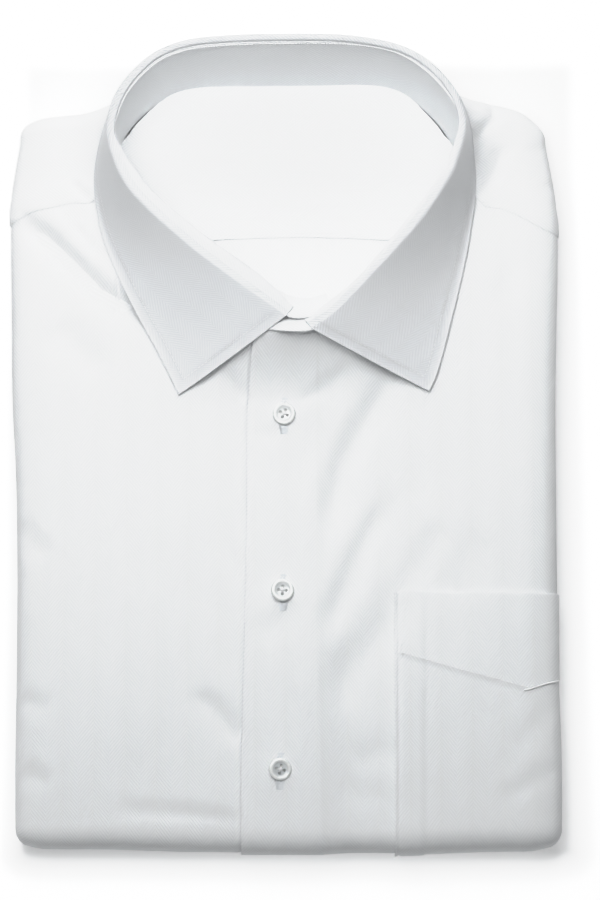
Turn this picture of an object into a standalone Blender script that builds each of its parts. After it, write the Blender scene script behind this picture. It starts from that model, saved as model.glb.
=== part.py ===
"""A long-sleeved dress shirt, folded for the shelf, with its collar standing.

The shirt lies face up. X is its width, Y runs from the bottom fold to the collar, Z is up and the table is at 0.
Sizes are in millimetres and become metres where a mesh is made.
Left and right in a piece's name are the wearer's: the right front is at -X and the left front, on top, at +X.
"""
import math

import bmesh
import bpy
import numpy as np
from mathutils import Matrix, Vector

MM = 0.001

# Middle of the shirt's box in the frame of the tables below, which is where the part's own origin goes
ORIGIN = Vector((-1.46, 0.21, 0.0))

# Cloth
WALL = 1.2
SEAM = 0.3
LAP = WALL + SEAM
STAND_WALL = 2.0
LEAF_WALL = 1.4

# Folded body
HEM_EDGE = -184.3
HEM_HALF = 12.0
SHOULDER_HALF = 9.0
TAIL_END = 88.0
CROWN = 1.2
CROWN_WIDTH = 125.0
SIDE_ROUND = 0.2
LIP = 5.0
REGULAR_ROWS_FROM = 46.0
NECK_FRONT = 60.0
SEAM_LINE = 108.0
FOLLOW_SIDE_FROM = 60.0

# Left front: how far it stands over the right front, and where it comes down to the same level
LIFT_FULL_TO = 55.0
LIFT_GONE_AT = 108.0
LIFT_FADE = 25.0
UNDERLAP_EDGE = 12.0
UNDERLAP_STEP = (-26.0, -52.0)

# Neck
NECK_DIP = 4.5
NECK_HALF_WIDTH = 80.0
NECK_DIP_FROM = 50.0
NECK_DIP_FULL = 90.0
NECK_DIP_BACK = 136.0
NECK_DIP_END = 172.0
RING_GAP = 0.8
LINING_GAP = 0.9
BACK_SEAM = 95.0
LINING_END = 167.4
BACK_PANEL_END = 52.0
UNDER_FRONTS = 1.9
UNDER_FRONTS_TO = 118.0
LEVEL_FROM = 132.0
MARGIN = 5.0
MARGIN_TO = 104.0
MARGIN_GONE = 116.0

# Hidden layers
CORE_CLEAR_TOP = 3.6
CORE_CLEAR = 0.5
CORE_CLEAR_SIDE = 0.8
CORE_SHY = 1.0
CORE_FIRST = -170.3
CORE_LAST = 141.7
LAYERS = 3
LAYER_INSET = 2.4
LAYER_STEP = 1.1
LAYER_GROOVE = 7.5

# Collar
ROLL = 2.3
ROLL_INSET = 3.0
LEAF_GAP = 0.4
HANGING_WIDTH = 8.0
LYING_WIDTH = 34.0

# Buttons
BUTTON_RADIUS = 5.15
BUTTON_HEIGHT = 2.2
BUTTON_RIM = 0.9
BUTTON_DISH = 0.7
BUTTON_HOLE = 0.75
BUTTON_HOLE_SPREAD = 1.25
BUTTON_X = (-1.5, -2.2, -3.2)
FIRST_BUTTON_Y = 11.8
BUTTON_PITCH = 80.8
COLLAR_BUTTON_GAP = 0.5

# Pocket
POCKET_LEFT = 48.3
POCKET_TOP = -69.5
POCKET_BAND_RAISE = 0.6
POCKET_STEP = 0.6
POCKET_WRAP = 125.0
POCKET_HEM_ANGLE = 115.0

# Outline from above: y, x of the left edge, x of the right edge
SIDES = (
    (-186.0, -122.0, 122.4),
    (-148.0, -122.6, 122.8),
    (-105.0, -122.4, 121.8),
    (-55.0, -122.6, 122.0),
    (-15.0, -123.6, 122.6),
    (20.0, -125.6, 123.2),
    (54.0, -126.2, 123.6),
    (100.0, -127.1, 124.0),
    (115.0, -127.1, 123.3),
    (130.0, -125.2, 121.0),
    (142.0, -123.4, 118.9),
    (152.0, -122.6, 117.8),
    (170.0, -122.6, 117.8),
)

# Shoulder fold from above: x, y of the fold
SHOULDERS = (
    (-128.0, 150.5),
    (-118.0, 153.2),
    (-103.5, 154.9),
    (-92.5, 156.4),
    (-82.0, 160.4),
    (-72.0, 165.8),
    (-58.0, 172.3),
    (-42.0, 177.3),
    (-22.0, 180.0),
    (0.0, 180.6),
    (24.0, 180.4),
    (44.0, 178.0),
    (60.0, 173.0),
    (72.0, 168.4),
    (82.0, 163.8),
    (100.0, 159.1),
    (109.0, 156.2),
    (118.0, 151.0),
    (126.0, 149.0),
)

# Height of the folded body: y, height
HEIGHTS = (
    (-200.0, 23.6),
    (-172.0, 23.6),
    (-100.0, 24.6),
    (0.0, 25.6),
    (40.0, 26.0),
    (65.0, 25.6),
    (100.0, 22.6),
    (130.0, 19.4),
    (150.0, 18.0),
    (172.0, 17.4),
    (190.0, 17.4),
)

# Yoke seam on the fronts, outside the collar: distance from the middle, y on the right front, y on the left front
YOKE_SEAM = (
    (77.5, 137.5, 136.0),
    (82.0, 123.0, 122.5),
    (88.0, 113.8, 112.6),
    (99.0, 111.8, 108.8),
    (110.0, 109.3, 103.6),
    (118.0, 107.2, 99.4),
    (127.0, 102.6, 96.5),
)

# Edge of the left front, on top of the right front: y, x
PLACKET = (
    (-190.0, -20.6),
    (-155.0, -20.6),
    (-103.0, -19.6),
    (-33.0, -18.3),
    (18.0, -17.7),
    (43.0, -15.8),
    (75.0, -14.0),
)

# Collar sections from the wearer's right front end round the back to the left front end:
# fold x, y and z, neckline x and y, leaf edge x, y and z
COLLAR = (
    (1.2, 54.8, 51.0, 2.6, 63.6, -49.3, 20.7, 28.1),
    (-8.5, 62.8, 51.2, -6.8, 68.2, -53.2, 29.0, 28.3),
    (-18.6, 70.7, 51.6, -17.0, 74.9, -59.0, 40.4, 28.5),
    (-41.2, 87.0, 52.4, -40.0, 90.4, -72.7, 66.2, 28.6),
    (-62.1, 104.8, 53.4, -60.6, 107.2, -83.4, 90.9, 26.6),
    (-71.2, 115.5, 53.8, -69.6, 117.6, -87.2, 106.8, 25.0),
    (-78.2, 126.2, 54.0, -75.6, 128.4, -89.0, 119.8, 23.6),
    (-82.5, 137.4, 54.2, -77.5, 137.5, -89.2, 132.2, 22.6),
    (-80.2, 149.0, 54.4, -74.4, 146.0, -87.2, 148.2, 22.2),
    (-75.9, 158.3, 54.6, -67.9, 153.8, -82.6, 161.8, 21.0),
    (-68.6, 167.2, 54.8, -59.8, 160.6, -74.0, 172.6, 14.0),
    (-58.4, 175.2, 55.0, -51.0, 165.6, -61.4, 180.4, 9.6),
    (-44.0, 180.2, 55.0, -39.0, 167.9, -45.6, 184.6, 8.4),
    (-22.0, 182.2, 55.0, -20.0, 168.3, -22.6, 186.4, 8.0),
    (0.0, 182.7, 55.0, 0.0, 168.4, 0.0, 186.8, 8.0),
    (24.0, 182.6, 55.0, 21.0, 168.9, 24.6, 186.8, 8.0),
    (44.0, 180.2, 55.0, 40.5, 168.7, 45.8, 184.6, 8.4),
    (57.6, 174.9, 55.0, 52.4, 165.6, 60.6, 180.2, 9.6),
    (68.2, 166.7, 54.8, 60.8, 159.6, 73.2, 172.2, 14.0),
    (76.5, 157.4, 54.6, 68.4, 152.2, 82.4, 162.0, 21.0),
    (81.2, 148.4, 54.4, 74.2, 144.4, 86.8, 148.6, 22.2),
    (82.4, 138.2, 54.2, 77.5, 136.0, 87.2, 133.8, 22.6),
    (79.2, 124.4, 54.0, 76.2, 125.0, 86.6, 121.2, 23.6),
    (73.1, 114.6, 53.8, 70.8, 115.6, 85.6, 109.6, 25.2),
    (58.1, 94.7, 53.2, 57.0, 96.6, 81.8, 86.0, 27.4),
    (36.6, 68.7, 51.8, 36.4, 72.2, 75.6, 59.0, 29.2),
    (20.6, 55.2, 50.8, 22.0, 62.0, 68.6, 32.4, 29.4),
    (10.2, 47.7, 50.4, 11.4, 57.6, 64.4, 22.2, 29.2),
)
WIDEST_RIGHT = 7
WIDEST_LEFT = 21

# Ends of the stand past the leaf, at the front: top x, y and z, neckline x and y
RIGHT_END = (
    (15.2, 60.4, 42.6, 15.6, 66.2),
    (9.6, 57.9, 45.6, 9.8, 64.2),
)
LEFT_END = (
    (-2.4, 49.2, 46.0, -2.0, 57.2),
    (-11.0, 53.0, 36.0, -10.6, 58.8),
)

# Main creases on the fronts: from x and y, to x and y, half width, depth; each fades over a share of its length
CREASE_FADE = 0.3
CREASES = (
    (-115.0, 99.0, -80.0, 68.0, 7.0, 1.5),
    (-97.0, 99.0, -82.0, 88.0, 4.0, 0.6),
    (46.0, 33.0, 18.0, -8.0, 9.0, 0.9),
    (41.0, -30.0, 17.0, -80.0, 8.0, 0.7),
    (47.0, -70.0, 18.0, -112.0, 8.0, 0.6),
    (94.0, 134.0, 88.0, 118.0, 5.0, 0.7),
    (101.0, 92.0, 94.0, 74.0, 6.0, 0.6),
)

# Lower edge of the pocket's hem band: x, y
POCKET_BAND = (
    (46.0, -97.0),
    (80.0, -106.4),
    (108.3, -114.0),
    (122.2, -109.3),
    (140.0, -105.6),
)


def to_metres(point):
    """A point of the tables' frame in the part's own frame."""
    return (Vector(point) - ORIGIN) * MM


def smooth_step(value):
    """From 0 to 1, level at both ends."""
    held = min(max(value, 0.0), 1.0)
    return held * held * (3.0 - 2.0 * held)


class Track:
    """A smooth curve through the rows of a table, read at a value of the table's first column."""

    def __init__(self, rows):
        data = np.array(rows, dtype=float)
        self.keys = data[:, 0]
        self.values = data[:, 1:]
        self.slopes = np.gradient(self.values, self.keys, axis=0)

    def at(self, key):
        key = min(max(key, self.keys[0]), self.keys[-1])
        i = int(np.searchsorted(self.keys, key)) - 1
        i = min(max(i, 0), len(self.keys) - 2)
        span = self.keys[i + 1] - self.keys[i]
        t = (key - self.keys[i]) / span
        first = (1 + 2 * t) * (1 - t) ** 2 * self.values[i] + t * (1 - t) ** 2 * span * self.slopes[i]
        second = t * t * (3 - 2 * t) * self.values[i + 1] - t * t * (1 - t) * span * self.slopes[i + 1]
        return first + second


sides = Track(SIDES)
shoulders = Track(SHOULDERS)
heights = Track(HEIGHTS)
yoke_seam = Track(YOKE_SEAM)
placket = Track(PLACKET)
collar = Track([(i, *row) for i, row in enumerate(COLLAR)])
LAST_SECTION = len(COLLAR) - 1


def side_x(side, y):
    """Edge of the folded body, at -X for side -1 and at +X for side 1."""
    return sides.at(y)[0 if side < 0 else 1]


def crease_depth(x, y):
    """How far the main creases push the fronts in at a place."""
    total = 0.0
    for x0, y0, x1, y1, half_width, depth in CREASES:
        run = math.hypot(x1 - x0, y1 - y0)
        along = ((x - x0) * (x1 - x0) + (y - y0) * (y1 - y0)) / run ** 2
        across = ((x - x0) * (y1 - y0) - (y - y0) * (x1 - x0)) / run
        fade = smooth_step(along / CREASE_FADE + 0.5) * smooth_step((1 - along) / CREASE_FADE + 0.5)
        total += depth * fade * math.exp(-(across / half_width) ** 2)
    return total


def plain_height(x, y):
    """Top of the folded body without its creases."""
    return heights.at(y)[0] - CROWN * (abs(x) / CROWN_WIDTH) ** 4


def height(x, y):
    """Top of the folded body."""
    return plain_height(x, y) - crease_depth(x, y)


def hem_radius(x):
    return plain_height(x, HEM_EDGE + HEM_HALF) / 2


def hem_line(x):
    """Where the top starts to turn round the bottom fold."""
    return HEM_EDGE + hem_radius(x)


def shoulder_radius(x):
    return plain_height(x, shoulders.at(x)[0] - SHOULDER_HALF) / 2


def shoulder_line(x):
    """Where the top starts to turn round the shoulder fold."""
    return shoulders.at(x)[0] - shoulder_radius(x)


def place(x, station, depth):
    """A point of the body: x across, a station along its length, and a depth in from its skin."""
    part, value = station
    if part == "top":
        return (x, value, height(x, value) - depth)
    if part == "under":
        return (x, value, depth)
    if part == "hem":
        radius = hem_radius(x)
        arm = radius - depth
        return (x, hem_line(x) - arm * math.sin(value), radius + arm * math.cos(value))
    radius = shoulder_radius(x)
    arm = radius - depth
    return (x, shoulder_line(x) + arm * math.sin(value), radius + arm * math.cos(value))


def station_y(x, station):
    """The y at which a station reads the outline of the sides."""
    part, value = station
    if part in ("top", "under"):
        return value
    return hem_line(x) if part == "hem" else shoulder_line(x)


def edge_round(side, y):
    """Radius of the rounded side."""
    return SIDE_ROUND * plain_height(side_x(side, y), y)


def side_point(side, angle, inset, station, out):
    """A point on the rounded side: the angle from straight up, or the lip's inset at half a turn."""
    y = station_y(side_x(side, 0.0), station)
    radius = edge_round(side, y)
    reach = radius + out
    x = side_x(side, y) - side * radius + side * reach * math.sin(angle) - side * inset
    return place(x, station, radius - reach * math.cos(angle))


SIDE_ANGLES = tuple(math.radians(value) for value in (0, 30, 60, 90, 120, 150, 180))


def outward(index):
    """Unit vector in plan, square to the fold and away from the neck."""
    before = collar.at(max(index - 0.2, 0.0))[0:2]
    after = collar.at(min(index + 0.2, LAST_SECTION))[0:2]
    step = after - before
    normal = np.array((-step[1], step[0]))
    return normal / np.linalg.norm(normal)


def ring_points(first, last, count=60, gap=0.0):
    """Points of the neckline between two collar sections, moved out by a gap."""
    return [collar.at(value)[3:5] + gap * outward(value) for value in np.linspace(first, last, count)]


def ring_table(points):
    """Neckline points as two lists for interpolation, with x rising."""
    ordered = sorted(((p[0], p[1]) for p in points), key=lambda p: p[0])
    return [p[0] for p in ordered], [p[1] for p in ordered]


def end_points(rows):
    """Neckline points of the stand's front ends, moved out by the ring's gap."""
    return [(row[3], row[4] - RING_GAP) for row in rows]


RIGHT_RING = ring_table(ring_points(0, WIDEST_RIGHT, 60, RING_GAP) + end_points(RIGHT_END))
LEFT_RING = ring_table(ring_points(WIDEST_LEFT, LAST_SECTION, 60, RING_GAP) + end_points(LEFT_END))
BACK_RING = ring_table(ring_points(WIDEST_RIGHT, WIDEST_LEFT, 120, RING_GAP))


def front_start(side, x):
    """Upper edge of a front: the neckline inside the collar, the yoke seam outside it."""
    widest = COLLAR[WIDEST_RIGHT if side < 0 else WIDEST_LEFT][3]
    if abs(x) > abs(widest) and x * side > 0:
        return yoke_seam.at(abs(x))[0 if side < 0 else 1] - SEAM / 2
    ring = RIGHT_RING if side < 0 else LEFT_RING
    return float(np.interp(x, *ring))


def yoke_end(x):
    """Lower edge of the yoke: the back of the neckline, or the yoke seam on either side of it."""
    if COLLAR[WIDEST_RIGHT][3] < x < COLLAR[WIDEST_LEFT][3]:
        return float(np.interp(x, *BACK_RING))
    return yoke_seam.at(abs(x))[0 if x < 0 else 1] + SEAM / 2


def turned_under(station):
    """0 on top of the body, 1 on its underside."""
    part, value = station
    if part == "hem":
        return smooth_step(value / math.pi)
    return 1.0 if part == "under" else 0.0


def left_lift(x, station):
    """How far the left front stands out, where it laps over the right front."""
    lift = LAP * (1.0 - smooth_step((x - LIFT_FULL_TO) / (LIFT_GONE_AT - LIFT_FULL_TO)))
    seam = yoke_seam.at(abs(x))[1]
    fade = smooth_step((seam - station_y(x, station)) / LIFT_FADE)
    return lift * fade * (1.0 - turned_under(station))


def right_lift(x, station):
    """How far the right front gives way on the underside, to leave the left front flat."""
    near, far = UNDERLAP_STEP
    return -LAP * smooth_step((x - far) / (near - far)) * turned_under(station)


def flat_limit(side, y):
    """Where the flat top of the body ends and its rounded side starts."""
    return side_x(side, y) - side * edge_round(side, y)


def line_x(side, spot, y):
    """x of a line down the body: straight in the middle, following the outline near the side."""
    reference = flat_limit(side, SEAM_LINE)
    follow = smooth_step((abs(spot) - FOLLOW_SIDE_FROM) / (abs(reference) - FOLLOW_SIDE_FROM))
    return spot + (flat_limit(side, y) - reference) * follow


def seam_x(side, kind, value):
    """x at which a column of the rounded side reads the yoke seam."""
    angle = min(value, math.pi / 2) if kind == "side" else math.pi / 2
    return flat_limit(side, SEAM_LINE) + side * edge_round(side, SEAM_LINE) * math.sin(angle)


SHOULDER_SPOTS = (77.7, 80.5, 84.0, 88.0, 95.0, 103.0, 112.0)
ROUND_COLUMNS = [("side", angle) for angle in SIDE_ANGLES] + [("lip", LIP)]


def round_pair(side, kind, value, station):
    """Outer and inner point of a column on the rounded side or its lip."""
    angle = value if kind == "side" else math.pi
    inset = value if kind == "lip" else 0.0
    return side_point(side, angle, inset, station, 0.0), side_point(side, angle, inset, station, -WALL)


def front_grids(side, inner_edge, lift, spots):
    """Outer and inner points of a front: a column for each line down its length."""
    columns = [("edge", 0.0)] + [("flat", side * spot) for spot in spots + SHOULDER_SPOTS] + ROUND_COLUMNS
    outer = []
    inner = []
    for kind, value in columns:
        if kind == "edge":
            start_x = inner_edge(NECK_FRONT)
        else:
            start_x = value if kind == "flat" else seam_x(side, kind, value)
        outer_line = []
        inner_line = []
        for station in front_stations(side, start_x):
            if kind in ("side", "lip"):
                skin, lining = round_pair(side, kind, value, station)
            else:
                y = station_y(start_x, station)
                x = inner_edge(y) if kind == "edge" else line_x(side, value, y)
                out = lift(x, station)
                skin = place(x, station, -out)
                lining = place(x, station, WALL - out)
            outer_line.append(skin)
            inner_line.append(lining)
        outer.append(outer_line)
        inner.append(inner_line)
    return outer, inner


UPPER_ROWS = 6
LOWER_ROWS = 12
HEM_ANGLES = tuple(math.radians(value) for value in (25, 50, 75, 100, 125, 150, 180))
TAIL_ROWS = 4


def front_stations(side, x):
    """Stations down a front: from its upper edge, round the bottom fold and along the underside."""
    start = front_start(side, x)
    stations = []
    for i in range(UPPER_ROWS):
        share = (i / UPPER_ROWS) ** 0.9
        stations.append(("top", start + (REGULAR_ROWS_FROM - start) * share))
    for i in range(LOWER_ROWS + 1):
        stations.append(("top", REGULAR_ROWS_FROM + (hem_line(x) - REGULAR_ROWS_FROM) * i / LOWER_ROWS))
    stations += [("hem", angle) for angle in HEM_ANGLES]
    for i in range(1, TAIL_ROWS + 1):
        stations.append(("under", hem_line(x) + (TAIL_END - hem_line(x)) * i / TAIL_ROWS))
    return stations


def wall(name, outer, inner, material):
    """A closed cloth wall between two grids of points of the same size."""
    mesh = bmesh.new()
    skin = [[mesh.verts.new(to_metres(point)) for point in line] for line in outer]
    lining = [[mesh.verts.new(to_metres(point)) for point in line] for line in inner]
    rows = len(outer)
    columns = len(outer[0])
    for r in range(rows - 1):
        for c in range(columns - 1):
            mesh.faces.new((skin[r][c], skin[r][c + 1], skin[r + 1][c + 1], skin[r + 1][c]))
            mesh.faces.new((lining[r + 1][c], lining[r + 1][c + 1], lining[r][c + 1], lining[r][c]))
    rim = [(0, c) for c in range(columns)] + [(r, columns - 1) for r in range(1, rows)]
    rim += [(rows - 1, c) for c in range(columns - 2, -1, -1)] + [(r, 0) for r in range(rows - 2, 0, -1)]
    for (r0, c0), (r1, c1) in zip(rim, rim[1:] + rim[:1]):
        mesh.faces.new((skin[r1][c1], skin[r0][c0], lining[r0][c0], lining[r1][c1]))
    finish(name, mesh, material)


def finish(name, mesh, material):
    """Turns a bmesh into a named object with its faces pointing out."""
    bmesh.ops.recalc_face_normals(mesh, faces=mesh.faces)
    data = bpy.data.meshes.new(name)
    mesh.to_mesh(data)
    mesh.free()
    data.shade_smooth()
    data.set_sharp_from_angle(angle=math.radians(40))
    data.materials.append(material)
    piece = bpy.data.objects.new(name, data)
    bpy.context.scene.collection.objects.link(piece)
    return piece


def make_material(name, color, roughness):
    material = bpy.data.materials.new(name)
    material.use_nodes = True
    shader = material.node_tree.nodes["Principled BSDF"]
    shader.inputs["Base Color"].default_value = (*color, 1.0)
    shader.inputs["Roughness"].default_value = roughness
    shader.inputs["Metallic"].default_value = 0.0
    return material


RIGHT_SPOTS = (-2.0, 8.0, 18.0, 28.0, 40.0, 51.0, 61.0, 69.0, 74.5, 76.9)
LEFT_SPOTS = (-8.0, 2.0, 13.0, 24.0, 36.0, 48.0, 60.0, 69.0, 74.5, 76.9)


def make_fronts(cloth):
    outer, inner = front_grids(-1, lambda y: UNDERLAP_EDGE, right_lift, RIGHT_SPOTS)
    wall("front_right", outer, inner, cloth)
    outer, inner = front_grids(1, lambda y: placket.at(y)[0], left_lift, LEFT_SPOTS)
    wall("front_left", outer, inner, cloth)


def yoke_columns():
    """Columns across the yoke: the right side's lip and round, the middle, the left side's round and lip."""
    columns = [(-1, *column) for column in reversed(ROUND_COLUMNS)]
    columns += [(-1, "flat", -spot) for spot in reversed(SHOULDER_SPOTS)]
    columns += [(0, "flat", spot) for spot in YOKE_SPOTS]
    columns += [(1, "flat", spot) for spot in SHOULDER_SPOTS]
    columns += [(1, *column) for column in ROUND_COLUMNS]
    return columns


YOKE_SPOTS = (-76.5, -74, -69, -62, -54, -44, -26, 0, 26, 44, 54, 62, 69, 74, 76.5)
SHOULDER_ANGLES = tuple(math.radians(value) for value in (0, 30, 60, 90, 120, 150, 180))
YOKE_TOP_ROWS = 3


def make_yoke(cloth):
    """The outer yoke: from its seams and the neckline back over the shoulder fold to the underside."""
    outer = []
    inner = []
    for side, kind, value in yoke_columns():
        x = value if kind == "flat" else seam_x(side, kind, value)
        end = yoke_end(x)
        ridge = shoulder_line(x)
        stations = [("top", end + (ridge - end) * i / YOKE_TOP_ROWS) for i in range(YOKE_TOP_ROWS)]
        stations += [("shoulder", angle) for angle in SHOULDER_ANGLES]
        stations += [("under", ridge + (BACK_SEAM - ridge) * i / 2) for i in (1, 2)]
        outer_line = []
        inner_line = []
        for station in stations:
            if kind == "flat":
                across = line_x(side, value, station_y(x, station)) if side else value
                skin = place(across, station, 0.0)
                lining = place(across, station, WALL)
            else:
                skin, lining = round_pair(side, kind, value, station)
            outer_line.append(skin)
            inner_line.append(lining)
        outer.append(outer_line)
        inner.append(inner_line)
    wall("yoke", outer, inner, cloth)


def ring_half_widths(y):
    """Neckline x on the right and on the left at a y behind the front ends."""
    result = []
    for first, last in ((0, 14), (14, LAST_SECTION)):
        ordered = sorted(((p[1], p[0]) for p in ring_points(first, last, 160)), key=lambda p: p[0])
        result.append(float(np.interp(y, [p[0] for p in ordered], [p[1] for p in ordered])))
    return result


def neck_dip(x, y):
    """How far the panels inside the neck sink in the middle of the neck."""
    across = max(0.0, 1.0 - (x / NECK_HALF_WIDTH) ** 2)
    front = smooth_step((y - NECK_DIP_FROM) / (NECK_DIP_FULL - NECK_DIP_FROM))
    back = smooth_step((NECK_DIP_END - y) / (NECK_DIP_END - NECK_DIP_BACK))
    return NECK_DIP * across * front * back


def neck_floor(x, y):
    """Height of the panels seen inside the neck: level with the yoke at the back, under the fronts at the front."""
    under_fronts = 1.0 - smooth_step((y - UNDER_FRONTS_TO) / (LEVEL_FROM - UNDER_FRONTS_TO))
    return plain_height(x, y) - UNDER_FRONTS * under_fronts - neck_dip(x, y)


NECK_COLUMNS = 11
LINING_ROWS = (BACK_SEAM + SEAM / 2, 108.0, 120.0, 132.0, 143.0, 152.0, 159.0, 164.0, LINING_END)
BACK_ROWS = (BACK_PANEL_END, 60.0, 70.0, 82.0, BACK_SEAM - SEAM / 2)


def make_neck_panel(name, rows, cloth):
    """A panel seen inside the neck, as rows across between the two sides of the neckline."""
    outer = []
    inner = []
    for y in rows:
        left, right = ring_half_widths(y)
        margin = MARGIN * (1.0 - smooth_step((y - MARGIN_TO) / (MARGIN_GONE - MARGIN_TO))) - LINING_GAP
        left -= margin
        right += margin
        line = []
        for i in range(NECK_COLUMNS):
            x = left + (right - left) * (0.5 - 0.5 * math.cos(math.pi * i / (NECK_COLUMNS - 1)))
            line.append((x, y, neck_floor(x, y)))
        outer.append(line)
        inner.append([(x, y, z - WALL) for x, y, z in line])
    wall(name, outer, inner, cloth)


def make_neck_panels(cloth):
    make_neck_panel("yoke_inner", LINING_ROWS, cloth)
    make_neck_panel("back", BACK_ROWS, cloth)


TONGUE_ANGLES = tuple(math.radians(value) for value in (0, 60, 120, 180))


def core_half(side, station, closed):
    """Edge of the hidden layers on one side, x and z from the top down: a tongue, loose layers, a tongue."""
    y = station_y(side_x(side, 0.0), station)
    radius = edge_round(side, y)
    edge = side_x(side, y)
    total = plain_height(edge, y)
    tongue = radius - WALL - CORE_CLEAR_SIDE
    root = edge - side * (radius + LIP + CORE_SHY)
    slab_top = total - 2 * radius - CORE_CLEAR
    layer = (2 * slab_top - total) / LAYERS
    points = []
    for angle in TONGUE_ANGLES:
        x = edge - side * radius + side * tongue * math.sin(angle)
        points.append((x, total - radius + tongue * math.cos(angle)))
    points.append((root, points[-1][1]))
    low = [(x, total - z) for x, z in reversed(points)]
    points.append((root, slab_top))
    for step in range(LAYERS):
        upper = slab_top - step * layer
        tip = edge - side * (LAYER_INSET + LAYER_STEP * step)
        points.append((tip, upper - layer * 0.15))
        points.append((tip, upper - layer * 0.75))
        if step < LAYERS - 1:
            points.append((edge - side * LAYER_GROOVE, upper - layer * 0.95))
    points.append((root, total - slab_top))
    points += low
    if closed:
        points = [(root, z) for x, z in points]
    return points, total


CORE_SPOTS = 11
CORE_STATIONS = 13
CORE_END_ANGLES = (72.0, 48.0, 24.0, 2.0)


def core_loop(station):
    """One section of the hidden layers: down the left side, back underneath, up the right side and over."""
    closed = station[0] != "top"
    right, total_right = core_half(-1, station, closed)
    left, total_left = core_half(1, station, closed)
    spots = [right[0][0] + (left[0][0] - right[0][0]) * i / CORE_SPOTS for i in range(1, CORE_SPOTS)]
    upper = []
    lower = []
    for x in spots:
        y = station_y(x, station)
        clear = CORE_CLEAR_TOP + neck_dip(x, y)
        total = plain_height(x, y)
        upper.append((x, total - clear, total))
        lower.append((x, WALL + LAP + CORE_CLEAR, total))
    points = [(x, z, total_left) for x, z in left]
    points += list(reversed(lower))
    points += [(x, z, total_right) for x, z in reversed(right)]
    points += upper
    return [core_point(x, z, total, station) for x, z, total in points]


def core_point(x, z, total, station):
    """Puts a section point where it goes; past the fold lines its height shrinks to follow the round."""
    part, value = station
    if part == "top":
        return (x, value, z)
    middle = total / 2
    arm = middle - CORE_CLEAR - WALL - LAP
    if part == "hem":
        return (x, hem_line(x) - arm * math.sin(value), middle + (z - middle) * math.cos(value))
    return (x, shoulder_line(x) + arm * math.sin(value), middle + (z - middle) * math.cos(value))


def make_folded_layers(cloth):
    """Sleeves, back and tail folded away, as one rounded solid with layered edges."""
    stations = [("hem", math.radians(angle)) for angle in CORE_END_ANGLES]
    for i in range(CORE_STATIONS):
        share = i / (CORE_STATIONS - 1)
        stations.append(("top", CORE_FIRST + (CORE_LAST - CORE_FIRST) * share))
    stations += [("shoulder", math.radians(angle)) for angle in reversed(CORE_END_ANGLES)]
    loops = [core_loop(station) for station in stations]
    mesh = bmesh.new()
    rings = [[mesh.verts.new(to_metres(point)) for point in loop] for loop in loops]
    count = len(rings[0])
    for first_ring, second_ring in zip(rings, rings[1:]):
        for i in range(count):
            j = (i + 1) % count
            mesh.faces.new((first_ring[i], first_ring[j], second_ring[j], second_ring[i]))
    for ring in (rings[0], rings[-1]):
        close_end(mesh, ring)
    finish("folded_layers", mesh, cloth)


def close_end(mesh, ring):
    """Closes an end of the hidden layers with a ladder of faces between its upper and lower edge."""
    edge = len(ring) // 2 - CORE_SPOTS + 1
    left = ring[:edge]
    lower = ring[edge:edge + CORE_SPOTS - 1]
    right = ring[edge + CORE_SPOTS - 1:2 * edge + CORE_SPOTS - 1]
    upper = list(reversed(ring[2 * edge + CORE_SPOTS - 1:]))
    mesh.faces.new([upper[0]] + left + [lower[0]])
    for i in range(CORE_SPOTS - 2):
        mesh.faces.new((upper[i], lower[i], lower[i + 1], upper[i + 1]))
    mesh.faces.new([lower[-1]] + right + [upper[-1]])


STAND_ROWS = 3
COLLAR_COLUMNS = 46
END_FACING = np.array((0.148, -0.989))


def stand_section(index):
    """Top and neckline centre of the stand and its outward vector at a collar section."""
    row = collar.at(index)
    normal = outward(index)
    top = row[0:2] - ROLL_INSET * normal
    x, y = row[3], row[4]
    lift = left_lift(x, ("top", y)) if index > WIDEST_LEFT else 0.0
    base_z = plain_height(x, y) + lift + SEAM
    return np.array((top[0], top[1], row[2] - ROLL - LEAF_GAP)), np.array((x, y, base_z)), normal


def end_section(row, lift):
    """The same for an end of the stand past the leaf."""
    x, y = row[3], row[4]
    return np.array(row[0:3]), np.array((x, y, plain_height(x, y) + lift + SEAM)), END_FACING


def collar_places():
    """Places along the collar at which the stand and the leaf have a section."""
    return [LAST_SECTION * i / (COLLAR_COLUMNS - 1) for i in range(COLLAR_COLUMNS)]


def make_stand(cloth):
    """The band round the neck, its left end lapped over its right end at the front."""
    sections = [stand_section(index) for index in collar_places()]
    for i in (0, -1):
        top, base, normal = sections[i]
        blend = normal + END_FACING
        sections[i] = (top, base, blend / np.linalg.norm(blend))
    right = [end_section(row, 0.0) for row in RIGHT_END]
    left = [end_section(row, LAP) for row in LEFT_END]
    sections = right + sections + left
    outer = []
    inner = []
    for top, base, normal in sections:
        for grid, reach in ((outer, STAND_WALL / 2), (inner, -STAND_WALL / 2)):
            line = []
            for i in range(STAND_ROWS + 1):
                share = i / STAND_ROWS
                centre = base + (top - base) * share
                line.append((centre[0] + normal[0] * reach, centre[1] + normal[1] * reach, centre[2]))
            grid.append(line)
    wall("collar_stand", outer, inner, cloth)


ROLL_ANGLES = tuple(math.radians(value) for value in (180, 140, 100, 60, 20))
FALL_SHARES = (0.15, 0.33, 0.55, 0.78, 1.0)
FALL_FIRST = (0.2, 0.42)
FALL_SECOND = 0.66
FALL_HANGING = 0.72
FALL_LYING = 0.86
LEAF_EDGE_THIN = 0.85


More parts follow.
